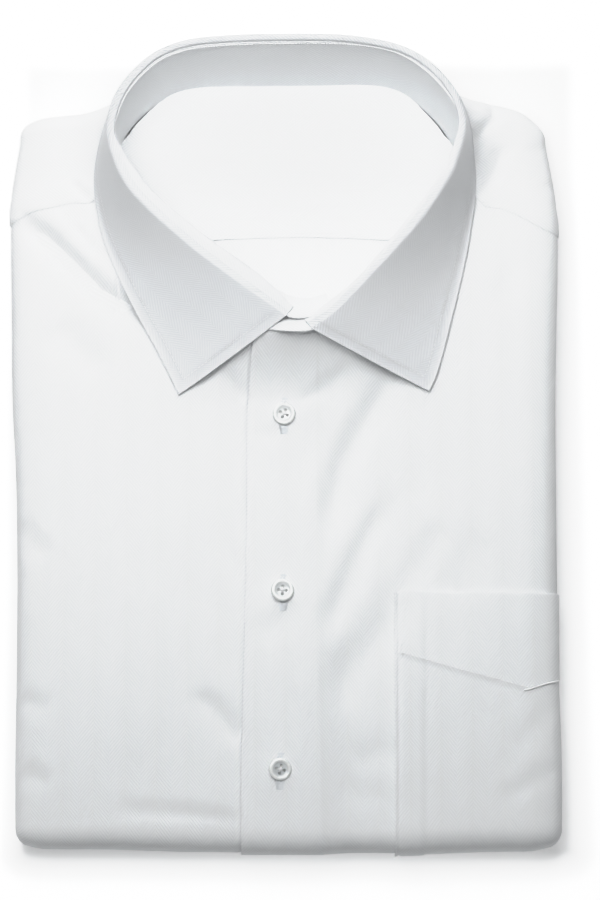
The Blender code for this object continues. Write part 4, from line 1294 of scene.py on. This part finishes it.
def leaf_grid(index):
    """Leaf points, sections by rows, with each row's length from its start and the seam's."""
    dense, seam = leaf_section(index, DENSE)
    steps = np.linalg.norm(np.diff(dense, axis=1), axis=2)
    length = np.concatenate([np.zeros((len(index), 1)), np.cumsum(steps, axis=1)], axis=1)
    rows = []
    lengths = []
    for k in range(len(index)):
        total = length[k, -1]
        rolled = length[k, DENSE - 1]
        spots = np.concatenate([
            np.linspace(0.0, seam[k] - 0.8, 4, endpoint=False),
            seam[k] + SEAM_ROWS,
            np.linspace(seam[k] + 1.1, rolled, 9, endpoint=False),
            np.linspace(rolled, total - EDGE_ROWS[0], FALL_ROWS, endpoint=False),
            total - np.array(EDGE_ROWS)])
        rows.append(np.stack([np.interp(spots, length[k], dense[k, :, axis]) for axis in range(3)], axis=1))
        lengths.append(spots)
    return np.array(rows), np.array(lengths), seam


FINE_ENDS = 0.72
LEAF_COLUMNS = np.concatenate([
    np.linspace(0.0, FINE_ENDS, 16),
    np.linspace(FINE_ENDS, LAST_SECTION - FINE_ENDS, 330)[1:-1],
    np.linspace(LAST_SECTION - FINE_ENDS, LAST_SECTION, 16)])


def leaf_relief(away, along):
    """The leaf's padded margin outside its topstitch, and the needle's groove."""
    groove = -0.12 * hump(away - LEAF_MARGIN, 0.6)
    margin = 0.26 * fade_out((away - LEAF_MARGIN + 0.4) / 1.4) * smooth_step(away / 1.6)
    pucker = 0.035 * np.sin(along / 1.9) * hump(away - LEAF_MARGIN, 2.2)
    return groove + margin + pucker


def make_leaf():
    """The turned-down part of the collar; returns its piece, surface, normals and distance to its edges."""
    points, lengths, seam = leaf_grid(LEAF_COLUMNS)
    count, rows = points.shape[:2]
    to_edge = lengths[:, -1:] - lengths
    steps = np.concatenate([np.zeros((1, rows)), np.linalg.norm(np.diff(points, axis=0), axis=2)])
    run = np.cumsum(steps, axis=0)
    to_front = np.minimum(run, run[-1:] - run)
    away = np.minimum(to_edge, to_front)
    normals = surface_normals(points.reshape(-1, 3), (count, rows)).reshape(count, rows, 3)
    from_seam = lengths - seam[:, None]
    sewn = -0.14 * hump(from_seam, 0.38)
    shaped = points + normals * (leaf_relief(away, run) + sewn)[:, :, None]
    mesh, across, along = grid_piece(count - 1, rows - 1)
    i = np.rint(across * (count - 1)).astype(int)
    j = np.rint(along * (rows - 1)).astype(int)
    fold_run = run[:, ROLL_ROWS // 2]
    past_ends = smooth_step((LEAF_COLUMNS - 5.0) / 3.0)
    back_of_neck = (past_ends * smooth_step((LAST_SECTION - 5.0 - LEAF_COLUMNS) / 3.0))[:, None]
    # The rim mark along the leaf's roll paints shade into the weave's grooves there and makes its weave
    # crisper.
    roll = hump(from_seam - 1.2 - 1.5 * back_of_neck, 1.4 + 0.9 * back_of_neck)
    roll *= 0.4 + 0.6 * back_of_neck
    piece = lay_cloth("collar_leaf_cloth", mesh, shaped[i, j], lengths[i, j], fold_run[i], COLLAR_CLOTH_PAINTED_SHADE,
                      "collar_cloth", ("collar_leaf",), wall=LEAF_WALL, marks={"rim": roll[i, j]})
    return piece, shaped, normals, to_edge, to_front


leaf, leaf_points, leaf_normals, leaf_to_edge, leaf_to_front = make_leaf()


# Slip of the stand's two ends past their solid, over a stretch of sections
SLIP_RIGHT = 5.0
SLIP_LEFT = 3.9
SLIP_SECTIONS = 1.6


def stand_sections():
    """Sections of the stand, from its right end to its left end: top, base and outward vector."""
    index = np.linspace(0.0, LAST_SECTION, 46)
    normal = outward(index)
    normal[0] = normal[0] + END_FACING
    normal[-1] = normal[-1] + END_FACING
    normal /= np.linalg.norm(normal, axis=1, keepdims=True)
    fold = collar.point(index, 0, 3)
    base = collar.point(index, 3, 5)
    slipped = SLIP_RIGHT * fade_out(index / SLIP_SECTIONS)
    slipped = slipped + SLIP_LEFT * fade_out((LAST_SECTION - index) / SLIP_SECTIONS)
    inset = ROLL_INSET - slipped
    top = fold[:, :2] - inset[:, None] * normal
    lift = np.where(index > WIDEST_LEFT, left_lift(base[:, 0], base[:, 1]), 0.0)
    base_z = plain_height(base[:, 0], base[:, 1]) + lift
    rows = [(*top[k], fold[k, 2] - ROLL - 0.2, *base[k], base_z[k], *normal[k]) for k in range(len(index))]
    right, left = ([(*row, float(plain_height(row[3], row[4])) + lap, *END_FACING) for row in end]
                   for end, lap in ((RIGHT_END, 0.0), (LEFT_END, LAP)))
    return right + rows + left


stand = Track([(k, *row) for k, row in enumerate(stand_sections())])
STAND_SECTIONS = len(stand.keys)


def stand_point(section, share, out):
    """A point of the stand: a section, a share from base to top and a distance out from its middle."""
    top = stand.point(section, 0, 3)
    base = stand.point(section, 3, 6)
    normal = stand.point(section, 6, 8)
    from_end = np.minimum(section, STAND_SECTIONS - 1 - section)
    lean = 1.0 + 1.3 * fade_out((from_end - 2.0) / 5.0)
    arch = 1.0 + 0.9 * fade_out((from_end - 2.0) / 3.0)
    rising = np.clip(share, 0.0, 1.0)
    centre = base + (top - base) * share[..., None]
    centre[..., :2] += (top - base)[..., :2] * (rising ** lean - rising)[..., None]
    centre[..., 2] += (top - base)[..., 2] * (1.0 - (1.0 - rising) ** arch - rising)
    centre[..., :2] += normal * np.asarray(out)[..., None]
    return centre


def make_stand():
    """The band round the neck, its left end lapped over its right end at the front."""
    columns, rows = 300, 22
    mesh, across, along = grid_piece(columns, rows)
    section = across * (STAND_SECTIONS - 1)
    share = -0.07 + 1.07 * along
    belly = STAND_WALL / 2 - 0.18 * fade_out(along / 0.08) + 0.05 * np.sin(section * 2.3)
    points = stand_point(section, share, belly)
    level = np.zeros(columns + 1)
    run = run_along(stand_point(np.linspace(0, STAND_SECTIONS - 1, columns + 1), level, level))
    u = np.interp(across, np.linspace(0, 1, columns + 1), run)
    return lay_cloth("collar_stand_cloth", mesh, points, share * 32.0, u, SHIRTING, "collar_cloth",
                     ("collar_stand",), flip=True, wall=STAND_WALL)


stand_piece = make_stand()


# Buttons and buttonholes

def made(obj):
    """The object's mesh with its modifiers applied, as a new mesh."""
    shown = obj.evaluated_get(bpy.context.evaluated_depsgraph_get())
    return bpy.data.meshes.new_from_object(shown)


# Half section of a button: distance from its axis, height
BUTTON_PROFILE = (
    (0.0, 0.0), (3.9, 0.0), (4.6, 0.10), (5.02, 0.40), (5.15, 0.85), (5.08, 1.35), (4.80, 1.80),
    (4.35, 2.05), (3.90, 2.02), (3.50, 1.82), (3.15, 1.62), (2.6, 1.50), (1.4, 1.45), (0.0, 1.44),
)
HOLE_OFF = 1.2
HOLE_RADIUS = 0.72
DISH_RADIUS = 3.9
THREAD_RADIUS = 0.24


def button_mesh(name):
    """A turned four-hole button with a raised rim, standing on its origin."""
    mesh = bmesh.new()
    line = [mesh.verts.new((radius * MM, 0.0, z * MM)) for radius, z in BUTTON_PROFILE]
    edges = [mesh.edges.new(pair) for pair in zip(line, line[1:])]
    bmesh.ops.spin(mesh, geom=line + edges, cent=(0, 0, 0), axis=(0, 0, 1), angle=math.tau, steps=48,
                   use_merge=True)
    bmesh.ops.remove_doubles(mesh, verts=mesh.verts, dist=1e-6)
    bmesh.ops.recalc_face_normals(mesh, faces=mesh.faces)
    blank = add_object(name + "_blank", mesh_data(name, mesh))
    pins = bmesh.new()
    for x, y in ((1, 1), (1, -1), (-1, 1), (-1, -1)):
        place = Matrix.Translation((x * HOLE_OFF * MM, y * HOLE_OFF * MM, MM))
        bmesh.ops.create_cone(pins, cap_ends=True, segments=20, radius1=HOLE_RADIUS * MM,
                              radius2=HOLE_RADIUS * MM, depth=8 * MM, matrix=place)
    cutter = add_object(name + "_pins", mesh_data(name + "_pins", pins))
    cut = blank.modifiers.new("holes", "BOOLEAN")
    cut.operation = "DIFFERENCE"
    cut.solver = "EXACT"
    cut.object = cutter
    bpy.context.view_layer.update()
    result = made(blank)
    for item in (blank, cutter):
        bpy.data.objects.remove(item, do_unlink=True)
    return result


def thread_strand(mesh, points):
    """A round strand of thread along points, drawn as a ring that is extruded from point to point."""
    ring = None
    for k, point in enumerate(points):
        ahead = points[min(k + 1, len(points) - 1)] - points[max(k - 1, 0)]
        turn = ahead.to_track_quat("Z", "Y").to_matrix().to_4x4()
        spots = bmesh.ops.create_circle(mesh, cap_ends=False, segments=8, radius=THREAD_RADIUS * MM,
                                        matrix=Matrix.Translation(point) @ turn)["verts"]
        edges = list({edge for vertex in spots for edge in vertex.link_edges})
        if ring:
            bmesh.ops.bridge_loops(mesh, edges=ring + edges)
        ring = edges


def button_thread(mesh, matrix):
    """Thread through a button's holes: each strand goes from hole to hole over the middle."""
    for (x0, y0), (x1, y1), height_over in CROSSED:
        points = []
        for k in range(9):
            t = k / 8
            over = math.sin(math.pi * t)
            drop = -1.0 * (1.0 - over) ** 3
            z = 1.45 + height_over * over + drop
            spot = Vector(((x0 + (x1 - x0) * t) * MM, (y0 + (y1 - y0) * t) * MM, z * MM))
            points.append(matrix @ spot)
        thread_strand(mesh, points)


# Strands of a button's thread: from one hole, to another, height over the middle
CROSSED = (((-1.15, -0.95), (0.95, 1.15), 0.24), ((-0.95, -1.15), (1.15, 0.95), 0.24),
           ((-1.15, 0.95), (0.95, -1.15), 0.42), ((-0.95, 1.15), (1.15, -0.95), 0.42))
# How each front button lies, turned about X, Y and Z in degrees, and how much darker each button's middle is
# coloured
TILTS = ((2.0, -1.0, 20.0), (-3.0, 3.0, 42.0), (5.0, 7.0, 31.0))
MIDDLE_DARKER = (0.4, 0.6, 0.75, 0.4)


def make_buttons():
    places = []
    for k, x in enumerate(BUTTON_X):
        y = FIRST_BUTTON_Y - BUTTON_PITCH * k
        z = float(plain_height(x, y)) + 1.40
        tilt_x, tilt_y, turn = (math.radians(value) for value in TILTS[k])
        tilt = Matrix.Rotation(tilt_x, 4, "X") @ Matrix.Rotation(tilt_y, 4, "Y")
        spin = tilt @ Matrix.Rotation(turn, 4, "Z")
        places.append(("button_%d" % (k + 1), Matrix.Translation(to_metres((x, y, z))) @ spin))
    top = np.array(LEFT_END[0][0:3])
    base = np.array((LEFT_END[0][3], LEFT_END[0][4], float(plain_height(0.0, LEFT_END[0][4])) + 1.8))
    up = Vector(top - base).normalized()
    front = Vector((*END_FACING, 0.0))
    face = (front - up * front.dot(up)).normalized()
    middle = Vector((top + base) / 2) + front * 1.0 + face * 0.5
    turn = face.to_track_quat("Z", "Y").to_matrix().to_4x4()
    places.append(("collar_button", Matrix.Translation(to_metres(middle)) @ turn))
    blank = button_mesh("button_blank")
    reach = np.array([vertex.co.xy.length for vertex in blank.vertices]) / MM
    for (name, matrix), clouded in zip(places, MIDDLE_DARKER):
        data = blank.copy()
        data.name = name + "_pearl"
        centre = data.attributes.new("centre", "FLOAT", "POINT")
        # Each button's middle is coloured darker by its own amount.
        cloudy = clouded * smooth_step((DISH_RADIUS - reach) / 0.9)
        centre.data.foreach_set("value", cloudy.astype(np.float32))
        data.transform(matrix)
        data.shade_smooth()
        data.set_sharp_from_angle(angle=math.radians(38))
        data.materials.clear()
        data.materials.append(PEARL)
        add_piece(name + "_pearl", data, (name,))
        mesh = bmesh.new()
        button_thread(mesh, matrix)
        shank = matrix @ Matrix.Translation((0, 0, 0.05 * MM))
        bmesh.ops.create_cone(mesh, cap_ends=True, segments=24, radius1=0.9 * MM, radius2=2.9 * MM,
                              depth=1.7 * MM, matrix=shank)
        bmesh.ops.recalc_face_normals(mesh, faces=mesh.faces)
        finish_piece(name + "_thread", mesh, THREAD)


make_buttons()


def make_grain():
    """One short rounded grain of thread, a unit long each way, lying along X."""
    mesh = bmesh.new()
    bmesh.ops.create_uvsphere(mesh, u_segments=6, v_segments=5, radius=1.0,
                              matrix=Matrix.Rotation(math.pi / 2, 4, "Y"))
    return mesh_data("grain", mesh)


GRAIN = make_grain()
GRAIN_SPOTS = np.array([vertex.co for vertex in GRAIN.vertices])
SUNK = 0.3
SPAN = 0.4
UP = (0.0, 0.0, 1.0)


def grains(places, along, normals, length, radius, tall=1.0):
    """A mesh of grains at places, each laid along a direction on a surface."""
    along = along / np.linalg.norm(along, axis=1, keepdims=True)
    across = np.cross(normals, along)
    across /= np.linalg.norm(across, axis=1, keepdims=True)
    up = np.cross(along, across)
    mesh = bmesh.new()
    for _ in places:
        mesh.from_mesh(GRAIN)
    spots = places[:, None] + along[:, None] * GRAIN_SPOTS[None, :, :1] * length / 2
    spots = spots + across[:, None] * GRAIN_SPOTS[None, :, 1:2] * radius
    spots = spots + up[:, None] * GRAIN_SPOTS[None, :, 2:] * radius * tall
    for vertex, place in zip(mesh.verts, to_metres(spots.reshape(-1, 3))):
        vertex.co = place
    return mesh_data("stitches", mesh)


def row_of_stitches(points, normals, pitch, length, radius):
    """Stitches as small rounded grains along a line of points on a surface."""
    run = run_along(points)
    count = max(int(run[-1] / pitch), 1)
    middles = run[-1] / count * (np.arange(count) + 0.5)

    def read(values, spots):
        return np.stack([np.interp(spots, run, values[:, axis]) for axis in range(3)], axis=1)
    along = read(points, middles + 0.5) - read(points, middles - 0.5)
    up = read(normals, middles)
    places = read(points, middles) + up * radius * (1.0 - 2 * SUNK)
    return grains(places, along, up, length, radius)


def on_cloth(point_at, line):
    """Points and normals of the folded cloth along a line of (q, p) places."""
    q, p = line[:, 0], line[:, 1]
    dq = point_at(q + SPAN, p) - point_at(q - SPAN, p)
    dp = point_at(q, p + SPAN) - point_at(q, p - SPAN)
    normal = np.cross(dq, dp)
    return point_at(q, p), normal / np.linalg.norm(normal, axis=1, keepdims=True)


def line_between(corners, step=0.8):
    """Places every step or so along straight lines through corners."""
    corners = np.asarray(corners, dtype=float)
    lengths = run_along(corners)
    run = np.linspace(0.0, lengths[-1], max(int(lengths[-1] / step), 2))
    return np.stack([np.interp(run, lengths, corners[:, axis]) for axis in (0, 1)], axis=1)


def thread_piece(name, rows, material=THREAD):
    """One piece of thread from several meshes of grains."""
    mesh = bmesh.new()
    for data in rows:
        mesh.from_mesh(data)
    finish_piece(name, mesh, material)


def stitch_piece(name, lines, pitch=2.3, length=2.0, radius=0.17):
    """One piece of stitching from several lines of (points, normals)."""
    thread_piece(name, [row_of_stitches(points, normals, pitch, length, radius) for points, normals in lines])


def pocket_lines():
    """The pocket's inner edge, the corner that holds its hem, the hem band and a short bar."""
    inner_edge = POCKET_LEFT + POCKET_SEAM_IN
    lines = (
        line_between([(inner_edge, POCKET_TOP - 0.6), (inner_edge, -172.0)]),
        line_between([(POCKET_LEFT + 5.4, POCKET_TOP - 0.8), (POCKET_LEFT + 2.6, -96.6)]),
        line_between([(50.8, -97.2), (80.0, -105.3), (108.2, -112.8), (119.0, -109.0)]),
        line_between([(POCKET_LEFT + 1.6, -97.4), (POCKET_LEFT + 5.2, -98.4)], 0.4),
    )
    return [on_cloth(pocket_point, line) for line in lines]


stitch_piece("pocket_stitching", pocket_lines())

# The turned edge of the pocket's hem band, which stands up beyond its point
BAND_EDGE = line_between([(106.8, -113.9), (108.6, -113.6), (122.0, -109.0)], 0.5)
stitch_piece("pocket_band_edge", [on_cloth(pocket_point, BAND_EDGE)], pitch=0.7, length=1.6, radius=0.42)


def as_line(pairs):
    """Pairs of a point and its normal as two arrays."""
    return tuple(np.array(part) for part in zip(*pairs))


def leaf_lines():
    """The leaf's topstitch: along its edge and both front edges."""
    lines = []
    count = leaf_points.shape[0]
    half = count // 2
    edge_line = []
    for k in range(count):
        s = np.interp(-LEAF_MARGIN, -leaf_to_edge[k], np.arange(leaf_points.shape[1]))
        low = int(s)
        mix = s - low
        if leaf_to_front[k, low] < LEAF_MARGIN:
            continue
        high = min(low + 1, leaf_points.shape[1] - 1)
        edge_line.append((leaf_points[k, low] * (1 - mix) + leaf_points[k, high] * mix, leaf_normals[k, low]))
    lines.append(as_line(edge_line))
    for side in (0, 1):
        front_line = []
        for j in range(ROLL_ROWS + 2, leaf_points.shape[1]):
            if leaf_to_edge[0, j] < LEAF_MARGIN:
                break
            block = slice(0, half) if side == 0 else slice(count - 1, half, -1)
            away = leaf_to_front[block, j]
            s = np.interp(LEAF_MARGIN, away, np.arange(len(away)))
            low = int(s)
            mix = s - low
            points = leaf_points[block, j]
            front_line.append((points[low] * (1 - mix) + points[low + 1] * mix, leaf_normals[block, j][low]))
        lines.append(as_line(front_line))
    return lines


stitch_piece("collar_stitching", leaf_lines(), pitch=2.0, length=1.75, radius=0.15)


def yoke_point(q, p):
    return skin(q, p, np.full_like(q, 0.45))


def yoke_lines():
    lines = []
    for side in (-1.0, 1.0):
        q = side * np.linspace(89.0, 128.0, 60)
        line = np.stack([q, yoke_end(q) + 1.9], axis=1)
        lines.append(on_cloth(yoke_point, line))
    return lines


stitch_piece("yoke_stitching", yoke_lines())


def lining_lines():
    x = np.linspace(-52.0, 56.0, 90)
    y = np.full_like(x, BACK_SEAM + 0.6)
    points = np.stack([x, y + seam_arch(x), neck_surface(x, y, lining_lift)], axis=1)
    return [(points, np.tile(UP, (len(x), 1)))]


stitch_piece("lining_stitching", lining_lines())


def in_space(plan):
    """Vectors in plan as level vectors in space."""
    return np.concatenate([plan, np.zeros((len(plan), 1))], axis=1)


def stand_lines():
    """Rows of stitches on both faces of the stand, next to its two seams."""
    lines = []
    section = np.linspace(2.0, STAND_SECTIONS - 3.0, 420)
    normal = stand.point(section, 6, 8)
    for share, side in ((0.94, -1.0), (0.05, 1.0)):
        out = side * STAND_WALL / 2
        points = stand_point(section, np.full_like(section, share), np.full_like(section, out))
        lines.append((points, in_space(normal * side)))
    return lines


stitch_piece("stand_stitching", stand_lines(), pitch=2.1, length=1.8, radius=0.15)


def seam_beads():
    """The bumpy seam edge that shows just inside the collar's roll."""
    section = np.linspace(7.0, STAND_SECTIONS - 8.0, 400)
    normal = stand.point(section, 6, 8)
    inside = np.full_like(section, -STAND_WALL / 2 - 0.15)
    spots = stand_point(section, np.full_like(section, 0.985), inside)
    along = np.gradient(spots, axis=0)
    along /= np.linalg.norm(along, axis=1, keepdims=True)
    return grains(spots, along + 0.45 * in_space(-normal), np.tile(UP, (len(section), 1)), 1.35, 0.42)


thread_piece("collar_seam_edge", [seam_beads()])


def front_point(q, p):
    return skin(q, p, left_lift(q, p) + front_relief(q, p))


def satin(spots, length, radius):
    """A row of stitches that lie across X at places (q, p) on the left front."""
    places, normals = on_cloth(front_point, spots)
    return grains(places, np.tile((1.0, 0.0, 0.0), (len(places), 1)), normals, length, radius, 0.8)


def make_buttonholes():
    """Upright buttonholes: two close rows of satin stitches with a bar at each end, the lower one wider."""
    rows = []
    for k, x in enumerate(BUTTON_X):
        y = FIRST_BUTTON_Y - BUTTON_PITCH * k - 0.6
        run = np.linspace(-6.0, 6.6, 30)
        for side in (-0.62, 0.62):
            rows.append(satin(np.stack([np.full(30, x + side), y + run], axis=1), 1.15, 0.24))
        for row in range(11):
            rows.append(satin(np.array([(x, y - 5.0 - 0.34 * row)]), 5.2 - 0.16 * row, 0.20))
        for row in range(3):
            rows.append(satin(np.array([(x + 0.4, y + 7.2 + 0.36 * row)]), 3.2, 0.18))
    thread_piece("buttonhole_stitching", rows, HOLE_THREAD)


make_buttonholes()


# Floor, light and camera

# Glow of the floor as the camera sees it, away from the shirt and close to it, where the lower glow is a
# painted shadow of the shirt, how far that painted shadow reaches in metres, and the share of the glow that
# lights the shirt
FLOOR_GLOW = 0.90
FLOOR_GLOW_IN_PAINTED_SHADOW = 0.26
PAINTED_SHADOW_REACH = 0.014
FLOOR_LIGHT_SHARE = 0.15

# Rectangle of the folded shirt on the floor, set a little to its right, round which the painted shadow lies:
# along X and along Y, its middle and half its length in metres
PAINTED_SHADOW_RECTANGLE = ((0.00625, 0.12325), (-0.00325, 0.18125))

# Area lights that face the middle of the floor: name, place, size, watts, colour
WHITE = (1.0, 1.0, 1.0)
COOL = (0.95, 0.98, 1.0)
LIGHTS = (
    ("key", (-0.45, 0.39, 2.0), (0.65, 0.65), 7.7, WHITE),
    ("overhead", (-0.03, 0.16, 0.50), (0.5, 0.3), 1.96, WHITE),
    ("back_bank", (-0.05, 0.60, 0.25), (0.6, 0.2), 1.3, WHITE),
    ("front_fill", (0.0, -0.6, 1.3), (0.9, 0.6), 2.1, COOL),
)
WORLD_LIGHT = 0.055

# The film: light up to 0.6 about as it is, brighter whites drawn together, pure white from 1.6.
# Its table is light, as a share of FILM_WHITE, against brightness in the picture.
FILM_WHITE = 2.0
FILM = ((0.15, 0.30), (0.30, 0.632), (0.40, 0.848), (0.50, 0.902), (0.64, 0.945), (0.80, 1.0))

# Camera: the point it faces, its tilt from straight down, its distance in metres and its lens
CAMERA_TARGET = Vector((0.00719, -0.00021, 0.0))
CAMERA_TILT = math.radians(10)
CAMERA_AWAY = 2.2
CAMERA_LENS = 191.85


def make_floor():
    mesh = bmesh.new()
    bmesh.ops.create_grid(mesh, x_segments=1, y_segments=1, size=3.0)
    data = mesh_data("floor", mesh)
    material, w, shader = new_material("white_floor", {
        "Base Color": (0.95, 0.95, 0.95, 1.0),
        "Roughness": 1.0,
        "Specular IOR Level": 0.0,
        "Emission Color": (*WHITE, 1.0),
    })
    # The floor's glow is lowered near the shirt's rectangle: a painted shadow of the shirt on the floor.
    apart = w.node("ShaderNodeSeparateXYZ")
    w.link(w.object_place(), apart.inputs[0])
    beyond = []
    for socket, (middle, half) in zip(apart.outputs, PAINTED_SHADOW_RECTANGLE):
        off = w.math("ABSOLUTE", w.math("SUBTRACT", socket, middle))
        beyond.append(w.math("MAXIMUM", w.math("SUBTRACT", off, half), 0.0))
    away = w.math("SQRT", w.math("ADD", *(w.math("POWER", value, 2.0) for value in beyond)))
    clear = w.math("SMOOTH_MIN", w.math("DIVIDE", away, PAINTED_SHADOW_REACH), 1.0, 0.3)
    seen = w.math("MULTIPLY_ADD", clear, FLOOR_GLOW - FLOOR_GLOW_IN_PAINTED_SHADOW, FLOOR_GLOW_IN_PAINTED_SHADOW)
    ray = w.node("ShaderNodeLightPath")
    lit = w.math("MULTIPLY_ADD", ray.outputs["Is Diffuse Ray"], FLOOR_LIGHT_SHARE - 1.0, 1.0)
    w.link(w.math("MULTIPLY", seen, lit), shader.inputs["Emission Strength"])
    data.materials.append(material)
    floor = add_object("floor", data)


def make_lights():
    for name, place, size, watts, color in LIGHTS:
        data = bpy.data.lights.new(name, "AREA")
        data.shape = "RECTANGLE"
        data.size, data.size_y = size
        data.energy = watts
        data.color = color
        light = add_object(name, data)
        light.location = place
        light.rotation_euler = (Vector((0.0, 0.0, 0.0)) - Vector(place)).to_track_quat("-Z", "Y").to_euler()
    world = bpy.data.worlds.new("studio")
    world.use_nodes = True
    background = world.node_tree.nodes["Background"]
    background.inputs["Color"].default_value = (*COOL, 1.0)
    background.inputs["Strength"].default_value = WORLD_LIGHT
    bpy.context.scene.world = world


def set_film():
    view = bpy.context.scene.view_settings
    view.view_transform = "Standard"
    view.look = "None"
    view.use_curve_mapping = True
    view.curve_mapping.white_level = (FILM_WHITE, FILM_WHITE, FILM_WHITE)
    film = view.curve_mapping.curves[3]
    film.points[0].location = (0.0, 0.0)
    film.points[1].location = (1.0, 1.0)
    for spot in FILM:
        film.points.new(*spot)
    for point in film.points:
        point.handle_type = "AUTO_CLAMPED"
    view.curve_mapping.update()


def make_camera():
    data = bpy.data.cameras.new("camera")
    data.sensor_width = 36.0
    data.lens = CAMERA_LENS
    camera = add_object("camera", data)
    back = Vector((0.0, -math.sin(CAMERA_TILT), math.cos(CAMERA_TILT)))
    camera.location = CAMERA_TARGET + back * CAMERA_AWAY
    camera.rotation_euler = (CAMERA_TILT, 0.0, 0.0)
    bpy.context.scene.camera = camera


make_floor()
make_lights()
set_film()
make_camera()
